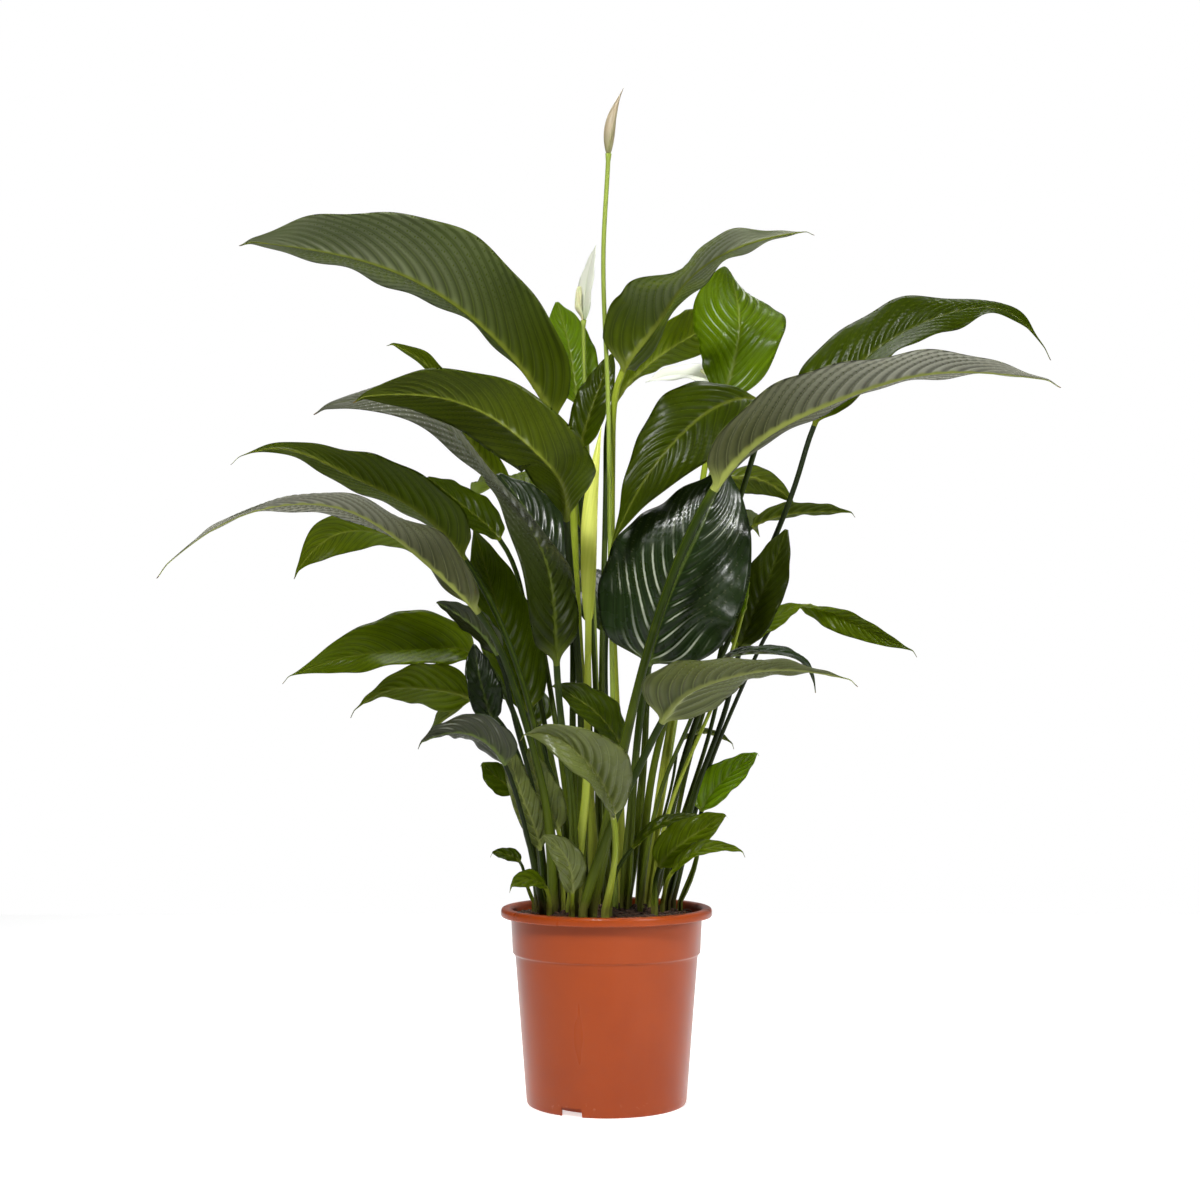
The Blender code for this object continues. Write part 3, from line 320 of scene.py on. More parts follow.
         blade=[(15, -60, 351), (-11, -88, 386), (-54, -104, 413)],
         half=26, face=(0.3, -0.7, 0.6), r=2.6),
    dict(name="leaf_low_06", root=(-34, -66), stem=[],
         blade=[(-33, -82, 214), (-37, -92, 244), (-62, -103, 271)],
         half=17, face=(0.35, -0.8, 0.4), r=2.2),
    dict(name="leaf_low_07", root=(-57, -22), stem=[(-61, -29, 211)],
         blade=[(-65, -37, 251), (-83, -50, 305), (-99, -54, 364)],
         half=15, face=(0.4, -0.85, 0.2), r=2.2),
    dict(name="leaf_low_08", root=(-44, -10), stem=[(-44, -12, 230)],
         blade=[(-48, -14, 269), (-66, -21, 309), (-77, -34, 354)],
         half=20, face=(0.3, -0.85, 0.3), r=2.2),
    dict(name="leaf_back_01", root=(-23, 69), stem=[(-35, 96, 350)],
         blade=[(-45, 161, 560), (-95, 256, 650), (-165, 352, 640)],
         half=53, face=(0.2, -0.6, 0.8), r=3.2),
    dict(name="leaf_back_02", root=(23, 69), stem=[(40, 96, 340)],
         blade=[(60, 169, 520), (120, 264, 610), (185, 357, 600)],
         half=51, face=(-0.3, -0.6, 0.8), r=3.2),
    dict(name="leaf_back_03", root=(4, 73), stem=[(3, 101, 300)],
         blade=[(0, 168, 470), (12, 270, 540), (22, 356, 500)],
         half=47, face=(0.0, -0.4, 0.9), r=3),
    dict(name="leaf_back_04", root=(-45, 58), stem=[(-58, 84, 260)],
         blade=[(-72, 145, 370), (-130, 223, 410), (-205, 278, 360)],
         half=36, face=(0.2, -0.3, 0.9), r=2.6),
]

NEW_LEAF = dict(name="new_leaf", root=(-36, -29), stem=[(-21, -41, 300), (-19, -49, 398)],
    blade=[(-18, -53, 476), (-16, -56, 584), (-5, -52, 668)],
    half=8, face=(0, -1, 0.1), r=3.2)

FLOWERS = [
    dict(name="flower_1", root=(9, -5), stem=[(6, -11, 398), (3, -17, 598), (1, -11, 720), (-3, -23, 850)],
         blade=[(2, -26, 947), (6, -26, 986), (18, -26, 1016)],
         half=6, face=(0, -1, 0.1), r=2.3, kind="bud"),
    dict(name="flower_2", root=(-3, 49), stem=[(-13, 79, 503), (-21, 91, 695)],
         blade=[(-24, 90, 802), (-22, 84, 838), (-12, 77, 880)],
         half=13, face=(-0.75, -0.6, 0.15), fold=(15, 15), r=2, kind="spathe"),
    dict(name="flower_3", root=(40, 63), stem=[(91, 139, 506), (117, 173, 652)],
         blade=[(132, 194, 742), (94, 198, 763), (44, 196, 755)],
         half=25, face=(0, -0.5, 0.8), r=2, kind="spathe"),
]

# The leaves of each blade tone and of each stalk tone; the others are green; most tones paint light or shade
BLADE_TONES = {
    "bright": "left_06 left_07 left_08 left_13 middle_02 right_07 right_08 right_13 right_15 low_03 back_01",
    "dark": "left_10 left_11 left_14 right_10 back_03",
    "dusk": "left_03",
    "frosted": "left_01",
    "lined": "middle_03",
    "misted": "middle_01",
    "olive": "right_09 low_04 low_06 low_07 low_08",
    "shade": "right_05",
    "silver": "left_05 right_02",
    "streaked": "left_09 middle_05",
    "young": "middle_06 right_06 right_12",
}
STALK_TONES = {
    "dark": "left_09 left_10 left_11 right_01 right_05 right_07",
    "pale": "left_01 middle_01 middle_03 right_06 right_15 low_03 low_04 low_06 low_08",
}

# Each blade tone: upper side, lower side, midrib and light let through, in linear colour, how much light goes
# through, gloss, and for some the share of a painted silvery reflection and of painted glints
LEAF_GREEN = (0.028, 0.043, 0.001)
GREEN_BACK, GREEN_RIB, GREEN_LIT = (0.055, 0.075, 0.002), (0.17, 0.2, 0.02), (0.38, 0.5, 0.003)
YOUNG_RIB, SHADED_RIB, DARK_RIB = (0.28, 0.34, 0.05), (0.1, 0.13, 0.015), (0.09, 0.13, 0.02)
LEAF_COLOURS = {
    "green": (LEAF_GREEN, (0.076, 0.1, 0.006), GREEN_RIB, GREEN_LIT, 0.4, 0.1),
    # Painted reflection: a light silvery sheen on the outer part of the blade
    "frosted": (LEAF_GREEN, GREEN_BACK, GREEN_RIB, GREEN_LIT, 0.4, 0.15, 0.36),
    # Painted reflection: a strong silvery sheen on the outer part of the blade
    "misted": ((0.03, 0.046, 0.001), GREEN_BACK, GREEN_RIB, (0.4, 0.52, 0.003), 0.4, 0.15, 0.8),
    # Painted shade: dark colours for a leaf in shade, with a strong painted silvery reflection on its outer
    # part
    "dusk": ((0.02, 0.03, 0.002), (0.02, 0.03, 0.002), SHADED_RIB, (0.14, 0.18, 0.004), 0.3, 0.12, 0.95),
    # Painted light: a lighter yellow-green copy of the green, for leaves in the light
    "bright": ((0.07, 0.1, 0.003), (0.1, 0.13, 0.005), (0.22, 0.26, 0.03), (0.5, 0.63, 0.006), 0.45, 0.1),
    # Painted highlights: white glints between the veins of a young-green blade
    "lined": ((0.09, 0.15, 0.004), (0.13, 0.18, 0.01), YOUNG_RIB, (0.52, 0.7, 0.006), 0.48, 0.15, 0.0, 0.9),
    "young": ((0.1, 0.17, 0.005), (0.15, 0.2, 0.012), YOUNG_RIB, (0.55, 0.76, 0.006), 0.5, 0.15),
    # Painted shade and painted highlights: the dark copy of the green, with white glints between the veins
    "streaked": ((0.01, 0.022, 0.005), (0.04, 0.05, 0.015), DARK_RIB, (0.16, 0.22, 0.008),
                 0.22, 0.35, 0.0, 0.8),
    # Painted shade: a darker copy of the green, for leaves in shade
    "dark": ((0.01, 0.022, 0.004), (0.035, 0.045, 0.01), DARK_RIB, (0.16, 0.22, 0.006), 0.22, 0.35),
    "shade": ((0.024, 0.036, 0.003), (0.04, 0.052, 0.004), SHADED_RIB, (0.3, 0.37, 0.008), 0.33, 0.12),
    "olive": ((0.13, 0.155, 0.04), (0.14, 0.165, 0.045), (0.3, 0.34, 0.08), (0.3, 0.38, 0.02), 0.25, 0.3),
    # Painted reflection: grey-green colours and a strong silvery sheen on the outer part of the blade
    "silver": ((0.05, 0.06, 0.02), (0.1, 0.11, 0.035), (0.3, 0.34, 0.07), (0.2, 0.22, 0.03),
               0.12, 0.12, 0.95),
}

# Each stalk tone: foot, top and edge; pale is a painted-light copy of the green and dark a painted-shade copy
PETIOLE_COLOURS = {
    "pale": ((0.3, 0.34, 0.04), (0.22, 0.28, 0.02), (0.36, 0.4, 0.06)),
    "green": ((0.085, 0.115, 0.006), (0.018, 0.032, 0.002), (0.11, 0.15, 0.012)),
    "dark": ((0.03, 0.045, 0.004), (0.01, 0.016, 0.004), (0.04, 0.06, 0.01)),
    "flower": ((0.13, 0.19, 0.02), (0.24, 0.31, 0.05), (0.3, 0.37, 0.07)),
}


def natural_spline(points):
    """Return the knots and a function for the smooth curve through the points."""
    count = len(points)
    steps = np.linalg.norm(np.diff(points, axis=0), axis=1)
    matrix = np.eye(count)
    right = np.zeros((count, 3))
    for i in range(1, count - 1):
        matrix[i, i - 1:i + 2] = steps[i - 1], 2 * (steps[i - 1] + steps[i]), steps[i]
        ahead = (points[i + 1] - points[i]) / steps[i]
        behind = (points[i] - points[i - 1]) / steps[i - 1]
        right[i] = 6 * (ahead - behind)
    bends = np.linalg.solve(matrix, right)
    knots = np.concatenate([[0], np.cumsum(steps)])

    def curve(s):
        i = np.clip(np.searchsorted(knots, s) - 1, 0, count - 2)
        span = steps[i][:, None]
        before = (knots[i + 1] - s)[:, None] / span
        after = (s - knots[i])[:, None] / span
        straight = before * points[i] + after * points[i + 1]
        curved = (before ** 3 - before) * bends[i] + (after ** 3 - after) * bends[i + 1]
        return straight + curved * span ** 2 / 6

    return knots, curve


def unit(vectors):
    """Scale each vector to length one."""
    return vectors / np.linalg.norm(vectors, axis=-1, keepdims=True)


def smooth(x):
    """Ease from 0 to 1."""
    x = np.clip(x, 0, 1)
    return x * x * (3 - 2 * x)


class Midrib:
    """The line of a leaf from the soil to its tip, with a sideways and an upper direction at each place."""

    def __init__(self, leaf):
        rooted = [(*leaf["root"], STALK_FOOT)]
        points = np.array(rooted + leaf["stem"] + leaf["blade"], float) * MM
        knots, curve = natural_spline(points)
        fine = np.linspace(0, knots[-1], FINE_STEPS)
        line = curve(fine)
        arc = np.concatenate([[0], np.cumsum(np.linalg.norm(np.diff(line, axis=0), axis=1))])
        self.length = arc[-1]
        self.blade_start = np.interp(knots[1 + len(leaf["stem"])], fine, arc)
        self.s = np.linspace(0, self.length, MIDRIB_STEPS)
        self.place = np.stack([np.interp(self.s, arc, line[:, i]) for i in range(3)], 1)
        self.along = unit(np.gradient(self.place, self.s, axis=0))
        self.upper = self.carry_upper(np.array(leaf["face"], float))
        share = (self.s - self.blade_start) / (self.length - self.blade_start)
        base_twist, tip_twist = leaf.get("twist", (0, 0))
        turn = base_twist * smooth(1 - share / MIDDLE) + tip_twist * smooth((share - MIDDLE) / (1 - MIDDLE))
        turn = np.radians(turn)[:, None]
        self.upper = self.upper * np.cos(turn) + np.cross(self.along, self.upper) * np.sin(turn)
        self.side = np.cross(self.along, self.upper)

    def carry_upper(self, face):
        """Carry the upper direction both ways from the blade's middle without turning about the line."""
        middle = int(np.searchsorted(self.s, self.blade_start + MIDDLE * (self.length - self.blade_start)))
        upper = np.zeros_like(self.along)
        upper[middle] = unit(face - self.along[middle] * (face @ self.along[middle]))
        for step in (1, -1):
            last = len(self.s) - 1 if step == 1 else 0
            for i in range(middle, last, step):
                move = self.place[i + step] - self.place[i]
                normal = upper[i] - move * (2 * (move @ upper[i]) / (move @ move))
                tangent = self.along[i] - move * (2 * (move @ self.along[i]) / (move @ move))
                swing = self.along[i + step] - tangent
                if swing @ swing > 1e-18:
                    normal = normal - swing * (2 * (swing @ normal) / (swing @ swing))
                ahead = self.along[i + step]
                upper[i + step] = unit(normal - ahead * (normal @ ahead))
        return upper

    def frame(self, s):
        """Place, sideways and upper direction at distance s along the line."""
        rows = []
        for values in (self.place, self.side, self.upper):
            rows.append(np.stack([np.interp(s, self.s, values[:, i]) for i in range(3)], -1))
        return rows[0], unit(rows[1]), unit(rows[2])


def blade_outline(leaf, t):
    """Half width at share t of the blade, as a share of the widest."""
    rise, fall = leaf.get("taper", (0.55, 0.9))
    widest = rise / (rise + fall)
    rest = np.clip(1 - t, 0, 1)
    drip_tip = 1 - DRIP * np.exp(-(rest / DRIP_REACH) ** 1.5)
    return (t / widest) ** rise * (rest / (1 - widest)) ** fall * drip_tip


def blade_section(leaf, t, v):
    """The blade's middle surface at share t, for v from -1 to 1 across: x, z and lean in radians."""
    half = leaf["half"] * MM * blade_outline(leaf, t)
    nip_share, nip = leaf.get("nip", (0.5, 0))
    nipped = np.radians(nip) * np.exp(-((t - nip_share) / NIP_REACH) ** 2)
    left, right = (np.radians(fold) * (1 - 0.35 * t) + nipped for fold in leaf.get("fold", (FOLD, FOLD)))
    bend = 1.4 * np.radians(CURL)
    start = np.where(v < 0, left, right) + 0.4 * np.radians(CURL)
    out = np.abs(v)
    lean = start - bend * out
    x = (np.sin(start) - np.sin(lean)) / bend * half
    z = (np.cos(lean) - np.cos(start)) / bend * half
    height = leaf.get("wave", 0.06 * leaf["half"]) * MM * np.minimum(1.3 * blade_outline(leaf, t), 1)
    z = z + height * np.sin(WAVES * math.tau * t + np.where(v < 0, 0.0, 2.1)) * out ** 2
    side = np.where(v < 0, -1.0, 1.0)
    ridge_lean = (right - left) / 2
    lean = ridge_lean + (lean * side - ridge_lean) * smooth(out / RIDGE_REACH)
    return x * side, z, lean


def sheath_share(midrib, s):
    """How much of the stalk is sheath at distance s: 1 at the soil, 0 past its middle."""
    return 1 - smooth(s / (SHEATH_SHARE * midrib.blade_start))


def stalk_radii(leaf, midrib, s):
    """Half width and half thickness of the stalk: a sheath at the soil, slim at the blade."""
    slim = leaf["r"] * MM
    sheath = sheath_share(midrib, s)
    wide = slim * (1 + 0.7 * sheath) * (1 - 0.25 * smooth(1 - s / (30 * MM)))
    thick = slim * (1 + 0.25 * sheath)
    return wide, thick


def vein_pitch(leaf):
    """Distance from one side vein to the next, in millimetres."""
    return VEIN_PITCH + VEIN_GROWTH * leaf["half"]


def vein_phase(leaf, midrib, t, v, shift):
    """A number that passes a whole value at each side vein, which leaves the midrib and sweeps to the tip."""
    length = (midrib.length - midrib.blade_start) / MM
    count = length / vein_pitch(leaf)
    sweep = VEIN_SWEEP * leaf["half"] / length
    lead = sweep * np.abs(v) ** 1.25 * (0.35 + 0.65 * smooth(t / 0.3))
    uneven = 0.006 * np.sin(17 * t + shift)
    return count * (t - lead + uneven) + np.where(v < 0, 0.0, 0.37) + 50


def quilt(phase):
    """Height of the sheet between side veins: sunk at a vein, domed between two."""
    from_vein = phase - np.round(phase)
    return -0.45 * np.cos(math.tau * from_vein) - 0.25 * np.exp(-(from_vein / 0.22) ** 2)


def ring_values(columns):
    """Across value from -1 to 1 and face, 1 above and -1 below, of the points round a leaf."""
    one_side = np.linspace(0, 1, columns + 1) ** 1.45
    over = np.concatenate([-one_side[::-1], one_side[1:]])
    v = np.concatenate([over, over[-2:0:-1]])
    face = np.where(np.arange(len(v)) < len(over), 1.0, -1.0)
    return v, face


def fade_ends(t):
    """1 along the blade and 0 at its base and tip."""
    return smooth(t / 0.15) * smooth((1 - t) / 0.15)


def leaf_surface(leaf, midrib, s, columns, shift):
    """Points of a leaf's fine skin, a row for each distance s, and its surface values."""
    v, face = ring_values(columns)
    v, face = np.broadcast_to(v, (len(s), len(v))), np.broadcast_to(face, (len(s), len(face)))
    place, side, upper = (part[:, None, :] for part in midrib.frame(s))
    s = s[:, None]
    on_stalk = np.minimum(s, midrib.blade_start)
    wide, thick = stalk_radii(leaf, midrib, on_stalk)
    sheath = sheath_share(midrib, on_stalk)
    angle = np.radians(90 - 90 * v) * face
    x = wide * np.cos(angle)
    z = thick * np.sin(angle)
    inward = np.abs(x) / wide
    z -= thick * (0.2 + 0.75 * sheath) * np.exp(-(inward / 0.42) ** 2) * (face > 0)
    z += thick * 0.3 * sheath * np.exp(-((inward - 0.85) / 0.2) ** 2) * (face > 0)
    t = np.clip((s - midrib.blade_start) / (midrib.length - midrib.blade_start), 0, 1) + 0 * v
    blade_x, blade_z, lean = blade_section(leaf, t, v)
    rib_width = (0.85 * leaf["r"] * (1 - t) ** 0.8 + 0.3) * MM
    rib = np.exp(-(blade_x / rib_width) ** 2)
    phase = vein_phase(leaf, midrib, t, v, shift)
    fade = smooth(np.abs(v) / 0.12) * (1 - v ** 4) * smooth(t / 0.12) * smooth((1 - t) / 0.15)
    veined = smooth((blade_outline(leaf, t) - 0.1) / 0.5)
    fade *= veined
    relief = VEIN_RELIEF * (vein_pitch(leaf) * MM) * quilt(phase) * fade
    ripple = np.sin(math.tau * RIPPLES * t + shift + 2 * np.sign(v)) * np.abs(v) ** 3
    relief += RIPPLE * leaf["half"] * MM * ripple * fade_ends(t)
    below = (SHEET * MM * np.sqrt(1 - v ** 2) + 1.1 * rib_width * rib) * (face < 0)
    above = (SHEET * MM * np.sqrt(1 - v ** 2) - 0.4 * rib_width * rib) * (face > 0)
    lift = above - below + relief
    flat = smooth(t / 0.06) * (t > 0)
    x = x * (1 - flat) + (blade_x - lift * np.sin(lean)) * flat
    z = z * (1 - flat) + (blade_z + lift * np.cos(lean)) * flat
    points = place + x[..., None] * side + z[..., None] * upper
    points[..., 2] -= HOOK * MM * smooth((t - HOOK_START) / (1 - HOOK_START)) ** 2
    along = np.where(s < midrib.blade_start, s / midrib.blade_start - 1, t)
    values = {"along": along, "across": v, "below": (face < 0) * 1.0}
    return points, values | {"rib": rib, "phase": phase, "veined": veined}


def placed(piece, node):
    """The piece stands for a solid of the frame: it hangs from the root body and the solid is hidden."""
    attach(piece, "root")
    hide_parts(node)


def skin(node, slot, points, values, looks, tip=None, seam=0):
    """A node's closed mesh through rows of ring points, with surface values, and a pointed or flat end.

    The first seam rows take the second material, the rest the first.
    """
    name = node + "_fine"
    rows, count = points.shape[:2]
    corner = np.arange(rows * count).reshape(rows, count)
    low, high = corner[:-1], corner[1:]
    quads = np.stack([low, np.roll(low, -1, 1), np.roll(high, -1, 1), high], -1).reshape(-1, 4)
    faces = quads.tolist() + [corner[0][::-1].tolist()]
    vertices = points.reshape(-1, 3)
    if tip is None:
        faces.append(corner[-1].tolist())
    else:
        faces += [[int(a), int(b), rows * count] for a, b in zip(corner[-1], np.roll(corner[-1], -1))]
        vertices = np.concatenate([vertices, [tip]])
    vertices = np.clip(vertices, cad_box[0], cad_box[1])
    mesh = bpy.data.meshes.new(name)
    mesh.from_pydata(vertices.tolist(), [], faces)
    for look in looks:
        mesh.materials.append(look)
    material = np.zeros(len(faces), np.int32)
    material[:seam * count] = 1
    material[len(quads)] = 1 if seam else 0
    mesh.polygons.foreach_set("material_index", material)
    mesh.shade_smooth()
    for key, value in values.items():
        flat = np.broadcast_to(value, (rows, count)).reshape(-1)
        if tip is not None:
            flat = np.append(flat, flat[-1])
        mesh.attributes.new(key, "FLOAT", "POINT").data.foreach_set("value", flat.astype(np.float32))
    made = bpy.data.objects.new(name, mesh)
    bpy.context.scene.collection.objects.link(made)
    placed(made, node)


def stalk_distances(midrib, pitch):
    """Distances for the rows of a stalk, from the soil to just before its top."""
    rows = max(8, math.ceil(midrib.blade_start / (pitch * MM)))
    return np.linspace(0, midrib.blade_start, rows, endpoint=False)


def rooted(points, values):
    """Carry the first row straight down into the soil."""
    rows = []
    for height in (ROOT_DEPTH, STALK_FOOT):
        row = points[0].copy()
        row[:, 2] = height * MM
        rows.append(row)
    points = np.concatenate([rows, points[1:]])
    values = {key: np.concatenate([value[:1], value]) for key, value in values.items()}
    return points, values


def tone_of(leaf, groups):
    """The group that names the leaf, or green."""
    name = leaf["name"].removeprefix("leaf_")
    return next((tone for tone, names in groups.items() if name in names.split()), "green")


def make_leaf(leaf, number):
    """One fine leaf with its stalk."""
    midrib = Midrib(leaf)
    columns = COLUMNS + int(leaf["half"] / COLUMN_WIDTH)
    blade = midrib.length - midrib.blade_start
    stalk = stalk_distances(midrib, STALK_PITCH)
    pitch = ROW_PITCH if leaf["half"] > SMALL_HALF else SMALL_PITCH * ROW_PITCH
    rows = math.ceil(blade / (pitch * MM))
    s = np.concatenate([stalk, midrib.blade_start + np.linspace(0, LAST_ROW, rows) * blade])
    points, values = leaf_surface(leaf, midrib, s, columns, LEAF_SHIFT * number)
    looks = (LEAF_LOOKS[tone_of(leaf, BLADE_TONES)], PETIOLE_LOOKS[tone_of(leaf, STALK_TONES)])
    tip = midrib.place[-1] - np.array((0, 0, HOOK * MM))
    skin(leaf["name"], "leaf", *rooted(points, values), looks, tip=tip, seam=len(stalk) + 1)


def tube_surface(midrib, s, wide, thick, count, lift=0.0, seam_turn=0.0, overlap=0.0):
    """Points of a round or rolled tube: with an overlap, its radius steps along a winding seam."""
    place, side, upper = (part[:, None, :] for part in midrib.frame(s))
    share = np.linspace(0, 1, count, endpoint=overlap > 0)[None, :]
    wind = ((s - s[0]) / (s[-1] - s[0]))[:, None] * seam_turn
    angle = math.tau * (share + wind)
    swell = 1 + overlap * (share - 0.5)
    x = wide[:, None] * swell * np.sin(angle)
    z = thick[:, None] * swell * np.cos(angle) + np.asarray(lift)[..., None]
    points = place + x[..., None] * side + z[..., None] * upper
    return points, {"around": share + 0 * wind, "along": (s / midrib.length)[:, None]}


def make_rolled_leaf(leaf):
    """The newest leaf: a stalk, then a spindle whose edge winds round it."""
    midrib = Midrib(leaf)
    blade = midrib.length - midrib.blade_start
    stalk = stalk_distances(midrib, STEM_PITCH)
    share = np.linspace(0, 1, ROLL_ROWS, endpoint=False)
    s = np.concatenate([stalk, midrib.blade_start + share * blade])
    stalk_wide, stalk_thick = stalk_radii(leaf, midrib, stalk)
    spindle = leaf["half"] * MM * (0.42 + 0.58 * np.sin(math.pi * share ** 0.7)) * (1 - share ** 6)
    wide = np.concatenate([stalk_wide, spindle])
    thick = np.concatenate([stalk_thick, 0.7 * spindle])
    points, values = tube_surface(midrib, s, wide, thick, ROLL_POINTS, seam_turn=0.9, overlap=0.16)
    on_stalk, on_blade = s / midrib.blade_start - 1, (s - midrib.blade_start) / blade
    values["along"] = np.where(s < midrib.blade_start, on_stalk, on_blade)[:, None]
    skin("new_leaf", "young_leaf", *rooted(points, values), (YOUNG_LOOK,), tip=midrib.place[-1])


def make_flower_stem(flower, midrib):
    """A flower's round stem, a little wider at its foot and its top."""
    s = np.append(stalk_distances(midrib, STEM_PITCH), midrib.blade_start)
    radius = flower["r"] * MM * (1 + 0.3 * (1 - smooth(s / 0.05)))
    radius = radius + (FLOWER_SEAT * MM - radius) * smooth((s - midrib.blade_start + 0.008) / 0.008)
    points, values = tube_surface(midrib, s, radius, radius, STEM_POINTS)
    skin(flower["name"] + "_stem", "petiole", *rooted(points, values), (PETIOLE_LOOKS["flower"],))


def make_bud(flower, midrib):
    """A closed spathe, its edge wrapped round it, with a long thin tip."""
    share = np.linspace(0, 1, BUD_ROWS, endpoint=False)
    s = midrib.blade_start + GAP * MM + share * (midrib.length - midrib.blade_start - GAP * MM)
    wide = flower["half"] * MM * (0.35 + 0.65 * np.sin(math.pi * np.minimum(share * 1.15, 1) ** 0.8))
    wide = wide * (1 - share ** 3)
    points, values = tube_surface(midrib, s, wide, wide, BUD_POINTS, seam_turn=0.35, overlap=0.14)
    values["along"] = share[:, None]
    skin(flower["name"] + "_spathe", "spathe", points, values, (BUD_LOOK,), tip=midrib.place[-1])


def make_spathe(flower, midrib):
    """An open spathe: a thin cupped bract with veins that run from its base to its tip."""
    length = midrib.length - midrib.blade_start
    t = np.linspace(SPATHE_BASE, LAST_ROW, SPATHE_ROWS)
    v, face = ring_values(SPATHE_COLUMNS)
    s = midrib.blade_start + GAP * MM + (t - SPATHE_BASE) / (1 - SPATHE_BASE) * length
    place, side, upper = (part[:, None, :] for part in midrib.frame(s))
    t = t[:, None] + 0 * v
    x, z, lean = blade_section(flower, t, v)
    relief = 0.22 * MM * np.cos(math.tau * 5 * np.abs(v) ** 0.8) * (1 - v ** 2) * fade_ends(t)
    rib = np.exp(-(x / (1.6 * MM * (1 - t) + 0.3 * MM)) ** 2)
    lift = SHEET * MM * np.sqrt(1 - v ** 2) * face - 0.8 * MM * rib * (face < 0) * (1 - t) + relief
    x = x - lift * np.sin(lean)
    z = z + lift * np.cos(lean) - SPATHE_BACK * MM
    points = place + x[..., None] * side + z[..., None] * upper
    end, _, end_upper = midrib.frame(np.array(midrib.length))
    tip = end - SPATHE_BACK * MM * end_upper
    values = {"along": t, "across": v + 0 * t, "rib": rib, "below": face < 0}
    skin(flower["name"] + "_spathe", "spathe", points, values, (SPATHE_LOOK,), tip=tip)


def make_spadix(flower, midrib):
    """The spike of tiny flowers, which stand round it in close spirals."""
    share = np.linspace(0, 1, SPADIX_ROWS)
    s = midrib.blade_start + GAP * MM + share * SPADIX_LENGTH * MM
    lift = (SPADIX_START + (SPADIX_LIFT - SPADIX_START) * smooth(share / 0.4)) * MM
    wide = SPADIX_RADIUS * MM * (0.35 + 0.65 * smooth(share / 0.35)) * np.sqrt(1 - (0.95 * share) ** 6)
    points, values = tube_surface(midrib, s, wide, wide, SPADIX_POINTS, lift)
    middle, _, upper = midrib.frame(s)
    middle = (middle + lift[:, None] * upper)[:, None, :]
    round_turns, up_turns = SPIRALS
    round_it, up_it = round_turns * values["around"], up_turns * share[:, None]
    knobs = np.cos(math.tau * (round_it + up_it)) * np.cos(math.tau * (round_it - up_it))
    covered = smooth((share - 0.12) / 0.1)[:, None]
    points = middle + (points - middle) * (1 + 0.13 * (knobs - 0.4) * covered)[..., None]
    values = {"knob": knobs * covered, "along": share[:, None]}
    skin(flower["name"] + "_spadix", "spadix", points, values, (SPADIX_LOOK,))


def make_flower(flower):
    """One flower: its stem, its spathe and, where it is open, its spadix."""
    midrib = Midrib(flower)
    make_flower_stem(flower, midrib)
    if flower["kind"] == "bud":
        make_bud(flower, midrib)
    else:
        make_spathe(flower, midrib)
        make_spadix(flower, midrib)


class Wire:
    """A value in a material's node tree, with arithmetic that adds Math nodes."""

    def __init__(self, tree, socket):
        self.tree = tree
        self.socket = socket

    def into(self, target):
        """Link this value to a socket."""
        self.tree.links.new(self.socket, target)

    def math(self, operation, *others):
        """A Math node on this value and others."""
        made = self.tree.nodes.new("ShaderNodeMath")
        made.operation = operation
        for target, value in zip(made.inputs, (self, *others)):
            feed(target, value)
        return Wire(self.tree, made.outputs[0])

    def __add__(self, other):
        return self.math("ADD", other)

    def __sub__(self, other):
        return self.math("SUBTRACT", other)

    def __mul__(self, other):
        return self.math("MULTIPLY", other)

    def rest(self):
        """What is left of this value up to 1."""
        return self * -1.0 + 1.0

    def over(self, low, high):
        """0 below low, 1 above high, eased between."""
        made = self.tree.nodes.new("ShaderNodeMapRange")
        made.interpolation_type = "SMOOTHSTEP"
        feed(made.inputs["Value"], self)
        made.inputs["From Min"].default_value = low
        made.inputs["From Max"].default_value = high
        return Wire(self.tree, made.outputs["Result"])


def feed(target, value):
    """Set a socket to a value, or link a wire to it."""
    if isinstance(value, Wire):
        value.into(target)
    elif hasattr(target.default_value, "__len__") and len(value) == 3 and len(target.default_value) == 4:
        target.default_value = (*value, 1)
    else:
        target.default_value = value


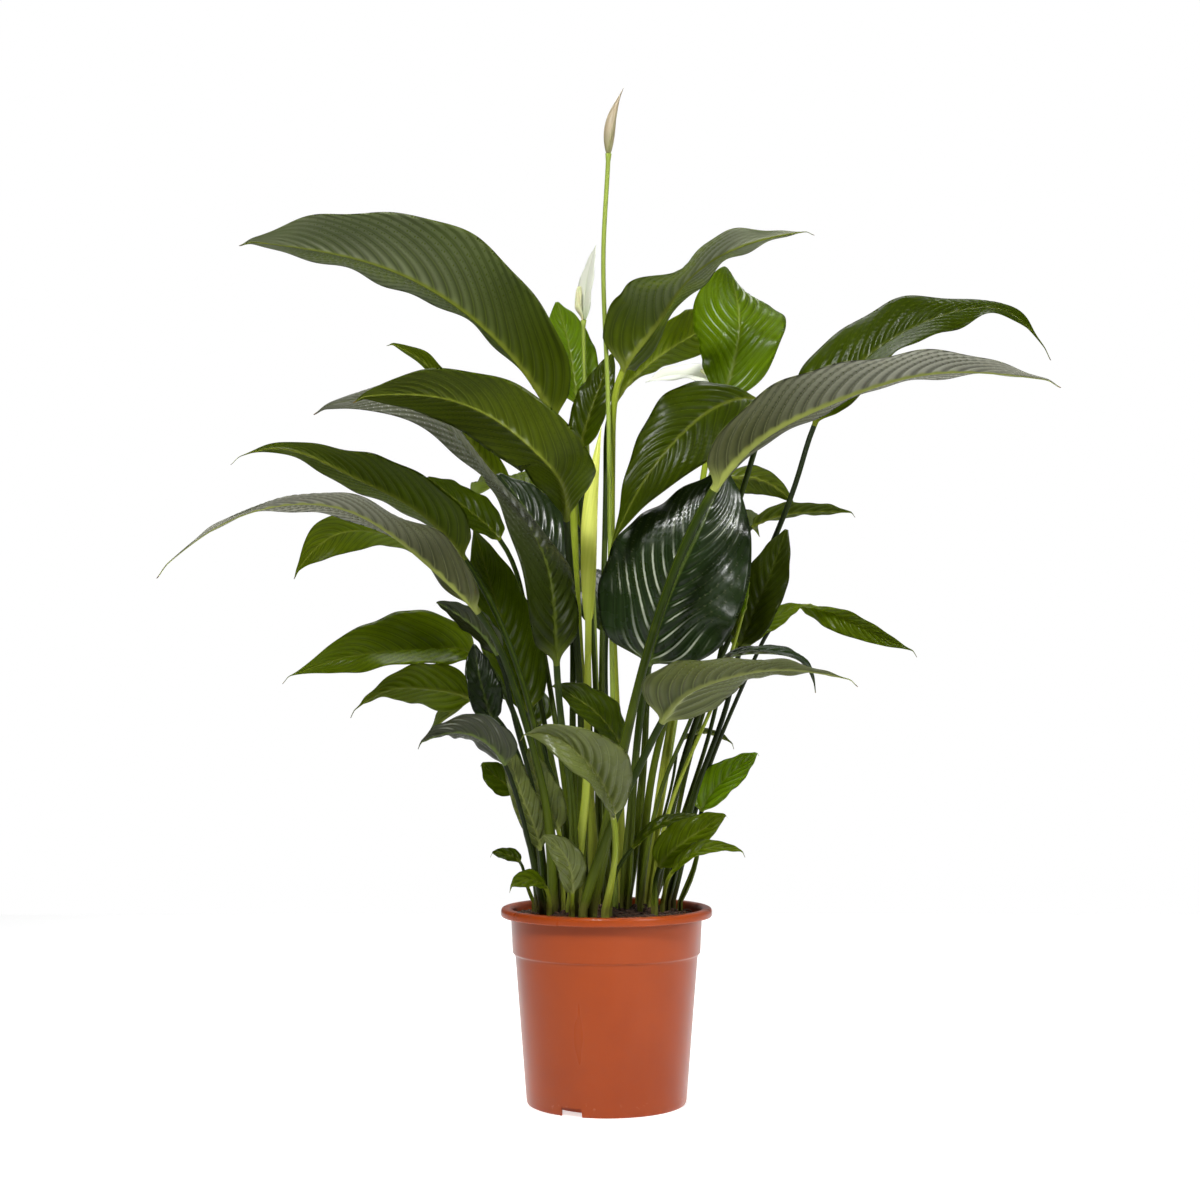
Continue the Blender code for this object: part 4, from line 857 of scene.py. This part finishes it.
class Look:
    """A material with a Principled shader, and short calls for its nodes."""

    def __init__(self, name, **settings):
        self.material = bpy.data.materials.new(name)
        self.material.use_nodes = True
        self.tree = self.material.node_tree
        self.shader = self.tree.nodes["Principled BSDF"]
        for key, value in settings.items():
            self.set(key.replace("_", " ").title().replace("Ior", "IOR"), value)

    def set(self, name, value):
        """Set or link a socket of the shader."""
        feed(self.shader.inputs[name], value)

    def node(self, kind, **settings):
        """A node with some of its settings."""
        made = self.tree.nodes.new(kind)
        for key, value in settings.items():
            setattr(made, key, value)
        return made

    def values(self, *names):
        """Surface values that the mesh carries."""
        nodes = [self.node("ShaderNodeAttribute", attribute_name=name) for name in names]
        return [Wire(self.tree, node.outputs["Fac"]) for node in nodes]

    def combine(self, x, y, z=0.0):
        """Three values as a place."""
        made = self.node("ShaderNodeCombineXYZ")
        for target, value in zip(made.inputs, (x, y, z)):
            feed(target, value)
        return Wire(self.tree, made.outputs[0])

    def noise(self, scale, detail, place=None, stretch=(1, 1, 1)):
        """Soft random values, over the object's place or another one."""
        moved = self.node("ShaderNodeMapping")
        if place is None:
            place = Wire(self.tree, self.node("ShaderNodeTexCoord").outputs["Object"])
        place.into(moved.inputs["Vector"])
        moved.inputs["Scale"].default_value = stretch
        made = self.node("ShaderNodeTexNoise")
        made.inputs["Scale"].default_value = scale
        made.inputs["Detail"].default_value = detail
        self.tree.links.new(moved.outputs[0], made.inputs["Vector"])
        return Wire(self.tree, made.outputs["Fac"])

    def mix(self, factor, a, b):
        """Colour a where the factor is 0, b where it is 1."""
        made = self.node("ShaderNodeMix", data_type="RGBA")
        feed(made.inputs[0], factor)
        feed(made.inputs[6], a)
        feed(made.inputs[7], b)
        return Wire(self.tree, made.outputs[2])

    def bump(self, height, distance, strength):
        """Fine relief from a height of 0 to 1, how deep it is in metres, and how strong."""
        made = self.node("ShaderNodeBump")
        made.inputs["Strength"].default_value = strength
        made.inputs["Distance"].default_value = distance
        height.into(made.inputs["Height"])
        self.set("Normal", Wire(self.tree, made.outputs[0]))

    def lit_through(self, colour, share):
        """Let light through the sheet in a colour, as a share of what it does."""
        through = self.node("ShaderNodeBsdfTranslucent")
        feed(through.inputs["Color"], colour)
        both = self.node("ShaderNodeMixShader")
        both.inputs[0].default_value = share
        self.tree.links.new(self.shader.outputs[0], both.inputs[1])
        self.tree.links.new(through.outputs[0], both.inputs[2])
        output = next(n for n in self.tree.nodes if n.type == "OUTPUT_MATERIAL")
        self.tree.links.new(both.outputs[0], output.inputs["Surface"])


def tint(colour, factor, lift=0.0):
    """The colour made lighter or darker."""
    return tuple(c * factor + lift for c in colour)


def leaf_look(name, upper, under, rib, through, share, gloss, sheen_share=0.0, glints=0.0):
    """A blade: glossy above, paler and duller below, with veins, a pale midrib and a dry tip.

    Its last two values are the share of a painted silvery reflection on its outer half, and how white the
    painted glints on the lines between veins are.
    """
    look = Look("leaf_" + name, coat_weight=0.2 * gloss, coat_roughness=0.2, specular_ior_level=gloss)
    along, across, below = look.values("along", "across", "below")
    phase, ribbed, veined = look.values("phase", "rib", "veined")
    out = across.math("ABSOLUTE")
    vein_wave = (phase * math.tau).math("COSINE")
    vein = vein_wave.over(0.9, 1.0) * out.rest().over(0.02, 0.35) * veined
    valley = (vein_wave.over(-0.7, 0.95) - 0.4) * veined + 0.4
    patches = look.noise(22, 3)
    clouds = look.noise(8, 2).over(0.38, 0.62)
    fibres = look.noise(1.0, 3, look.combine(phase * 5.0, out * 2.2, across * 3.0))
    top = look.mix(patches.over(0.35, 0.7), upper, tint(upper, 0.7))
    # Painted shade: darker along the sunken vein grooves of the upper side
    top = look.mix(valley * (clouds * 0.35 + 0.25), top, tint(upper, 0.42))
    top = look.mix(vein * 0.5, top, tint(upper, 2.2, 0.002))
    bottom = look.mix(patches.over(0.3, 0.72), under, tint(under, 0.8))
    # Painted shade: darker along the veins of the lower side
    bottom = look.mix(valley * 0.8, bottom, tint(under, 0.4))
    bottom = look.mix(vein * 0.7, bottom, tint(under, 1.5, 0.006))
    colour = look.mix(below, top, bottom)
    # Painted reflection: a silvery sheen on the blade's outer part, mostly on the lower side, darker in the
    # vein grooves
    silver = look.mix(valley * 0.85, PAINTED_SHEEN, tint(PAINTED_SHEEN, 0.3))
    frosted = along.over(0.15, 0.75) * (below * (1 - PAINTED_SHEEN_ABOVE) + PAINTED_SHEEN_ABOVE) * sheen_share
    colour = look.mix(frosted, colour, silver)
    colour = look.mix(fibres.over(0.3, 0.8) * 0.14, colour, tint(under, 1.4))
    # Painted highlights: white glints on the lines between veins, in patches on the mid-blade
    glint = ((phase + 0.32) * math.tau).math("COSINE").over(0.72, 1.0) * look.noise(15, 2).over(0.5, 0.64)
    glint = glint * out.over(0.08, 0.2) * out.rest().over(0.12, 0.4) * veined
    colour = look.mix(glint * glints, colour, GLINT)
    near_base = along.rest().over(0.93, 1.0)
    rib_mask = ribbed.over(0.25, 0.75) * (below * 0.45 + 0.5)
    colour = look.mix(rib_mask.math("MAXIMUM", near_base * 0.9), colour, rib)
    colour = look.mix(out.over(0.975, 1.0) * 0.3, colour, tint(rib, 1.2, 0.01))
    dry = (along + patches * 0.012).over(0.992, 1.003)
    colour = look.mix(dry, colour, (0.16, 0.09, 0.03))
    look.set("Base Color", colour)
    shine = look.noise(60, 2).over(0.3, 0.75) * 0.08
    look.set("Roughness", below * 0.12 + 0.24 + shine)
    grain = look.noise(350, 1)
    look.bump(fibres * veined * 0.8 + grain * 0.2, 0.00015, 0.35)
    lit = look.mix(valley * (clouds * 0.4 + 0.3), through, tint(through, 0.4))
    lit = look.mix(clouds * 0.35, lit, tint(through, 0.6))
    lit = look.mix(patches.over(0.3, 0.75) * 0.4, lit, tint(through, 0.65))
    lit = look.mix(vein * 0.35, lit, tint(through, 1.3, 0.01))
    lit = look.mix(ribbed.over(0.2, 0.7) * 0.6, lit, tint(through, 0.5))
    look.lit_through(lit, share)
    return look.material


def petiole_look(name, foot, top, edge):
    """A stalk: paler at its foot, with fine streaks along it."""
    look = Look("petiole_" + name, coat_weight=0.02, coat_roughness=0.2, specular_ior_level=0.12)
    along, across, below = look.values("along", "across", "below")
    streaks = look.noise(1.0, 3, look.combine(across * 14.0, along * 5.0, below * 7.0))
    blots = look.noise(35, 2)
    colour = look.mix((along + 1.0).over(0.03, 0.75), foot, top)
    colour = look.mix(streaks.over(0.35, 0.7) * 0.4, colour, tint(top, 0.62))
    colour = look.mix(blots.over(0.5, 0.75) * 0.25, colour, edge)
    colour = look.mix(across.math("ABSOLUTE").over(0.9, 1.0) * 0.35, colour, edge)
    near_soil = (along + 1.0).rest().over(0.93, 1.0)
    colour = look.mix(near_soil * 0.35, colour, (0.16, 0.12, 0.045))
    look.set("Base Color", colour)
    look.set("Roughness", streaks * 0.14 + 0.3)
    look.bump(streaks, 0.0003, 0.5)
    return look.material


def rolled_look(name, colour, streak, deep, roughness):
    """A rolled leaf or bud: lines along it, deeper colour in its fold."""
    look = Look(name, coat_weight=0.08, coat_roughness=0.25)
    along, around = look.values("along", "around")
    lines = look.noise(1.0, 3, look.combine(around * 16.0, along * 2.5))
    made = look.mix(lines.over(0.35, 0.7) * 0.45, colour, streak)
    fold = around.over(0.9, 1.0).math("MAXIMUM", around.rest().over(0.9, 1.0))
    made = look.mix(fold * 0.55, made, deep)
    green = along.rest().over(0.62, 1.0)
    made = look.mix(green * 0.6, made, deep)
    look.set("Base Color", made)
    look.set("Roughness", lines * 0.15 + roughness)
    look.bump(lines, 0.0004, 0.6)
    look.lit_through(look.mix(lines, colour, streak), 0.5)
    return look.material


def spathe_look():
    """An open spathe: soft white, with a green midrib behind and faint veins."""
    look = Look("spathe_white", sheen_weight=0.1)
    along, across, ribbed, below = look.values("along", "across", "rib", "below")
    veins = look.noise(1.0, 3, look.combine(across * 13.0, along * 1.6))
    colour = look.mix(veins.over(0.4, 0.7) * 0.35, (0.84, 0.85, 0.76), (0.72, 0.77, 0.6))
    green = along.rest().over(0.72, 1.0) * 0.6
    rib = ribbed.over(0.2, 0.7) * (below * 0.5 + 0.2)
    colour = look.mix(green.math("MAXIMUM", rib), colour, (0.4, 0.53, 0.2))
    look.set("Base Color", colour)
    look.set("Roughness", veins * 0.1 + 0.4)
    look.bump(veins, 0.0003, 0.5)
    look.lit_through(look.mix(veins, (0.85, 0.87, 0.75), (0.7, 0.77, 0.55)), 0.3)
    return look.material


def spadix_look():
    """The spadix: cream knobs, greener between them."""
    look = Look("spadix_cream", subsurface_weight=0.1, subsurface_scale=0.002)
    knob, along = look.values("knob", "along")
    colour = look.mix(knob.over(-0.5, 0.5), (0.42, 0.44, 0.14), (0.83, 0.8, 0.56))
    colour = look.mix(along.over(0.6, 1.0) * 0.3, colour, (0.6, 0.64, 0.3))
    look.set("Base Color", colour)
    look.set("Roughness", look.noise(700, 2) * 0.2 + 0.5)
    look.bump(look.noise(2200, 2), 0.0002, 0.6)
    return look.material


def pot_look():
    """Terracotta-coloured satin plastic, a little uneven, with dust at the lip and scuffs at the foot."""
    look = Look("terracotta_plastic_satin", coat_weight=0.12, coat_roughness=0.12, specular_ior_level=0.2)
    place = Wire(look.tree, look.node("ShaderNodeTexCoord").outputs["Object"])
    split = look.node("ShaderNodeSeparateXYZ")
    place.into(split.inputs[0])
    height = Wire(look.tree, split.outputs["Z"])
    cloud = look.noise(9, 3)
    flow = look.noise(30, 3, stretch=(1, 1, 0.12))
    colour = look.mix(cloud.over(0.3, 0.7), (0.33, 0.052, 0.006), (0.28, 0.042, 0.005))
    colour = look.mix(flow.over(0.45, 0.75) * 0.2, colour, (0.34, 0.065, 0.018))
    scuffs = look.noise(160, 4).over(0.62, 0.75) * (height * -1.0).over(-0.02, -0.001)
    colour = look.mix(scuffs * 0.5, colour, (0.5, 0.2, 0.11))
    dust = look.noise(70, 4).over(0.52, 0.72) * height.over(POT_TOP - 0.006, POT_TOP)
    colour = look.mix(dust * 0.3, colour, (0.1, 0.045, 0.025))
    look.set("Base Color", colour)
    look.set("Roughness", flow * 0.1 + 0.24 + dust * 0.25)
    look.bump(look.noise(1500, 2) * 0.35 + flow * 0.65, 0.0002, 0.3)
    return look.material


def soil_look(name, light):
    """Moist peat: dark brown, with paler fibres."""
    look = Look(name, roughness=0.95)
    grain, fibre = look.noise(420, 5), look.noise(160, 4, stretch=(1, 0.25, 1))
    dark = tint((0.022, 0.0105, 0.0055), light)
    colour = look.mix(grain.over(0.35, 0.7), dark, tint(dark, 2.4))
    colour = look.mix(fibre.over(0.6, 0.72) * 0.7, colour, (0.085, 0.047, 0.024))
    look.set("Base Color", colour)
    look.bump(grain, 0.0014, 0.9)
    return look.material


def linked(name, mesh, look):
    """An object of a mesh with one material, in the scene."""
    mesh.materials.clear()
    mesh.materials.append(look)
    made = bpy.data.objects.new(name, mesh)
    bpy.context.scene.collection.objects.link(made)
    return made


def rounded(outline, radius, steps=4):
    """The outline with every sharp corner turned into a short curve."""
    points = [Vector(point) for point in outline]
    made = [points[0]]
    for before, corner, after in zip(points, points[1:], points[2:]):
        back, ahead = before - corner, after - corner
        reach = min(radius, 0.45 * back.length, 0.45 * ahead.length)
        start = corner + back.normalized() * reach
        end = corner + ahead.normalized() * reach
        for step in range(steps + 1):
            share = step / steps
            made.append(start * (1 - share) ** 2 + corner * (2 * share * (1 - share)) + end * share ** 2)
    return made + [points[-1]]


def turned(name, outline, turns, look):
    """A solid turned about Z from an outline of radius and height in millimetres."""
    mesh = bpy.data.meshes.new(name)
    corners = [(x * MM, 0, z * MM) for x, z in outline]
    mesh.from_pydata(corners, [(i, i + 1) for i in range(len(corners) - 1)], [])
    made = linked(name, mesh, look)
    screw = made.modifiers.new("turn", "SCREW")
    screw.steps = turns
    screw.render_steps = turns
    screw.use_merge_vertices = True
    screw.merge_threshold = 0.00001
    screw.use_smooth_shade = True
    return made


def applied(made):
    """Apply an object's modifiers to its mesh."""
    graph = bpy.context.evaluated_depsgraph_get()
    mesh = bpy.data.meshes.new_from_object(made.evaluated_get(graph))
    made.modifiers.clear()
    made.data = mesh
    return made


def cut_away(made, cutters):
    """Cut solids out of an object and remove them."""
    for cutter in cutters:
        boolean = made.modifiers.new("cut", "BOOLEAN")
        boolean.object = cutter
        boolean.solver = "EXACT"
    applied(made)
    for cutter in cutters:
        bpy.data.objects.remove(cutter)


def inner_radius(height):
    """Radius of the pot's inner wall at a height."""
    heights = (CHANNEL_HEIGHT + FLOOR, STEP_LOW, STEP_HIGH, POT_HEIGHT - LIP_DROP)
    foot = FOOT_RADIUS + (BODY_RADIUS - FOOT_RADIUS) * heights[0] / heights[1]
    radii = (foot, BODY_RADIUS, STEP_RADIUS, NECK_RADIUS)
    return float(np.interp(height, heights, radii)) - WALL


def on_circle(radius, angle, height):
    """A place round the pot's axis, from millimetres to metres."""
    return radius * MM * math.cos(angle), radius * MM * math.sin(angle), height * MM


def make_pot():
    """The nursery pot: a flat floor, a raised drain channel, a stepped wall and a rolled lip."""
    roof = CHANNEL_HEIGHT + FLOOR
    top, lip, neck = POT_HEIGHT, LIP_RADIUS, NECK_RADIUS
    inside, outside = CHANNEL_RADII
    outline = [
        (0, FLOOR), (inside, FLOOR), (inside + 3, roof), (inner_radius(roof), roof),
        (inner_radius(STEP_LOW), STEP_LOW), (inner_radius(STEP_HIGH), STEP_HIGH),
        (inner_radius(top - LIP_DROP), top - LIP_DROP), (neck - 0.6, top - 2.5), (neck + 1, top - 0.5),
        (neck + 3, top), (lip - 2.5, top), (lip - 0.6, top - 1), (lip, top - 3), (lip, top - LIP_DROP + 1),
        (lip - 0.5, top - LIP_DROP), (lip - 1.6, top - LIP_DROP), (lip - 2, top - 3.2),
        (neck + 2.2, top - 3.4), (neck + 0.2, top - LIP_DROP), (STEP_RADIUS, STEP_HIGH),
        (BODY_RADIUS + 0.6, STEP_HEIGHT), (BODY_RADIUS, STEP_LOW), (FOOT_RADIUS + 0.3, 4),
        (FOOT_RADIUS - 0.5, 0.8), (FOOT_RADIUS - 1.6, 0), (outside + 0.4, 0),
        (outside + 0.2, CHANNEL_HEIGHT), (inside + 4.4, CHANNEL_HEIGHT), (inside + 1, 0), (0, 0),
    ]
    pot = turned("pot_fine", rounded(outline, POT_ROUNDING), POT_TURNS, pot_look())
    cutters = []
    for turn in range(NOTCHES):
        angle = math.radians(-90 + NOTCH_TURN + 360 / NOTCHES * turn)
        place = on_circle(FOOT_RADIUS, angle, 0)
        bpy.ops.mesh.primitive_cube_add(size=1, location=place, rotation=(0, 0, angle))
        notch = bpy.context.object
        notch.scale = (NOTCH_DEPTH * MM, NOTCH_WIDTH * MM, 2 * NOTCH_HEIGHT * MM)
        cutters.append(notch)
    for turn in range(DRAINS):
        angle = math.radians(NOTCH_TURN + 360 / DRAINS * turn)
        place = on_circle((inside + 4 + outside) / 2, angle, CHANNEL_HEIGHT + 1)
        size = {"radius": DRAIN_RADIUS * MM, "depth": DRAIN_DEPTH * MM}
        bpy.ops.mesh.primitive_cylinder_add(vertices=24, location=place, **size)
        cutters.append(bpy.context.object)
    cut_away(pot, cutters)
    pot.data.shade_smooth()
    pot.data.set_sharp_from_angle(angle=math.radians(SHARP_ANGLE))
    placed(pot, "pot")


def soil_height(x, y):
    """Height of the lumpy soil at a place, in millimetres."""
    radius = math.hypot(x, y)
    crown = SOIL_CROWN * math.cos(min(radius / NECK_RADIUS, 1) * math.pi / 2)
    lumps = math.sin(x / 5.3 + 1.7 * math.sin(y / 7.1)) * math.sin(y / 4.7 + 1.3 * math.sin(x / 8.3))
    lumps += 0.9 * noise.fractal(Vector((x, y, SEED)) / 7, 0.7, 2.1, 4)
    return SOIL_TOP + crown + LUMP * lumps * smooth((NECK_RADIUS - WALL - radius) / EDGE_REACH)


def make_soil():
    """The soil: it fills the pot, with a lumpy top. The stalks stand in it without modelled holes."""
    edge = inner_radius(SOIL_TOP) - GAP
    roof = CHANNEL_HEIGHT + FLOOR + GAP
    inside = CHANNEL_RADII[0]
    outline = [(edge * step / SOIL_STEPS, SOIL_TOP) for step in range(SOIL_STEPS + 1)]
    outline += [
        (inner_radius(STEP_HIGH) - GAP, STEP_HIGH),
        (inner_radius(STEP_LOW) - GAP, STEP_LOW),
        (inner_radius(roof) - GAP, roof), (inside + 3 - GAP, roof),
        (inside - GAP, FLOOR + GAP), (0, FLOOR + GAP),
    ]
    soil = applied(turned("soil_fine", outline, SOIL_TURNS, soil_look("peat", 1.0)))
    for vertex in soil.data.vertices:
        if vertex.co.z > (SOIL_TOP - 1) * MM:
            vertex.co.z = soil_height(vertex.co.x / MM, vertex.co.y / MM) * MM
    placed(soil, "soil")


def make_crumbs():
    """Loose crumbs of peat and short bark fibres on the soil."""
    draw = random.Random(SEED)
    vertices, faces = [], []
    bpy.ops.mesh.primitive_ico_sphere_add(subdivisions=2, radius=1)
    ball = bpy.context.object
    shape = [vertex.co.copy() for vertex in ball.data.vertices]
    shape_faces = [tuple(face.vertices) for face in ball.data.polygons]
    bpy.data.objects.remove(ball)
    for number in range(CRUMBS):
        radius = CRUMB_REACH * math.sqrt(draw.random())
        turn = draw.uniform(0, math.tau)
        x, y = radius * math.cos(turn), radius * math.sin(turn)
        size = draw.uniform(*CRUMB_SIZES) * (LARGE if draw.random() < LARGE_SHARE else 1)
        if draw.random() < FIBRE_SHARE:
            shares = (draw.uniform(3, 6), 0.3, 0.3)
        else:
            shares = (draw.uniform(0.8, 1.4), draw.uniform(0.7, 1.1), draw.uniform(0.5, 0.9))
        stretch = Vector([size * share for share in shares])
        spin = draw.uniform(0, math.tau)
        cos, sin = math.cos(spin), math.sin(spin)
        tilt = draw.uniform(-0.3, 0.3)
        centre = Vector((x, y, soil_height(x, y) + 0.35 * min(stretch)))
        first = len(vertices)
        for point in shape:
            bump = 1 + 0.35 * noise.noise(point * 1.4 + Vector((number, 0, 0)))
            p = Vector((point.x * stretch.x, point.y * stretch.y, point.z * stretch.z)) * bump
            p.z += p.x * tilt
            turned_point = Vector((p.x * cos - p.y * sin, p.x * sin + p.y * cos, p.z))
            vertices.append((centre + turned_point) * MM)
        faces += [tuple(first + i for i in face) for face in shape_faces]
    mesh = bpy.data.meshes.new("soil_crumbs")
    mesh.from_pydata(vertices, [], faces)
    mesh.shade_smooth()
    crumbs = linked("soil_crumbs", mesh, soil_look("peat_crumbs", 1.5))
    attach(crumbs, "root")


def area_light(name, place, aim, size, power, spread):
    """A soft rectangular light that faces a point."""
    data = bpy.data.lights.new(name, "AREA")
    data.shape = "RECTANGLE"
    data.size, data.size_y = size
    data.energy = power
    data.spread = math.radians(spread)
    made = bpy.data.objects.new(name, data)
    made.location = place
    made.rotation_euler = (Vector(aim) - Vector(place)).to_track_quat("-Z", "Y").to_euler()
    bpy.context.scene.collection.objects.link(made)


def make_world():
    """Light from all round: white behind the plant, dim in front and at the left, and a plain white view."""
    world = bpy.data.worlds.new("studio")
    world.use_nodes = True
    tree = world.node_tree
    shade = tree.nodes["Background"]
    split = tree.nodes.new("ShaderNodeSeparateXYZ")
    tree.links.new(tree.nodes.new("ShaderNodeTexCoord").outputs["Generated"], split.inputs[0])
    behind = Wire(tree, split.outputs["Y"]).over(FRONT_EDGE, BACK_EDGE)
    seen = Wire(tree, tree.nodes.new("ShaderNodeLightPath").outputs["Is Camera Ray"])
    right = Wire(tree, split.outputs["X"]).over(LEFT_EDGE, RIGHT_EDGE)
    glow = (behind * (BACK_LIGHT - FRONT_LIGHT) + FRONT_LIGHT) * (right * (1 - LEFT_LIGHT) + LEFT_LIGHT)
    shade.inputs["Color"].default_value = (1, 1, 1, 1)
    feed(shade.inputs["Strength"], glow.math("MAXIMUM", seen))
    bpy.context.scene.world = world


def make_studio():
    """A plain pale floor, soft light and the camera."""
    bpy.ops.mesh.primitive_plane_add(size=FLOOR_SIZE)
    floor = bpy.context.object
    floor.name = "floor"
    paint = Look("pale_floor", roughness=0.9, emission_strength=FLOOR_GLOW)
    paint.set("Base Color", (0.8, 0.8, 0.8))
    paint.set("Emission Color", (1, 1, 1))
    floor.data.materials.append(paint.material)
    make_world()
    bpy.context.scene.view_settings.view_transform = "Standard"
    for name, settings in LIGHTS.items():
        area_light(name, *settings)
    data = bpy.data.cameras.new("camera")
    data.sensor_width = SENSOR
    data.lens = LENS
    camera = bpy.data.objects.new("camera", data)
    camera.location = CAMERA_PLACE
    camera.rotation_euler = (math.radians(90 + CAMERA_TILT), 0, 0)
    bpy.context.scene.collection.objects.link(camera)
    bpy.context.scene.camera = camera


LEAF_LOOKS = {name: leaf_look(name, *colours) for name, colours in LEAF_COLOURS.items()}
PETIOLE_LOOKS = {name: petiole_look(name, *colours) for name, colours in PETIOLE_COLOURS.items()}
YOUNG_LOOK = rolled_look("young_leaf_rolled", (0.93, 0.95, 0.24), (0.6, 0.68, 0.08), (0.24, 0.34, 0.02), 0.3)
BUD_LOOK = rolled_look("bud_cream", (0.6, 0.52, 0.36), (0.5, 0.42, 0.27), (0.3, 0.36, 0.12), 0.4)
SPATHE_LOOK = spathe_look()
SPADIX_LOOK = spadix_look()

for number, leaf in enumerate(LEAVES):
    make_leaf(leaf, number)
make_rolled_leaf(NEW_LEAF)
for flower in FLOWERS:
    make_flower(flower)
make_pot()
make_soil()
make_crumbs()
make_studio()
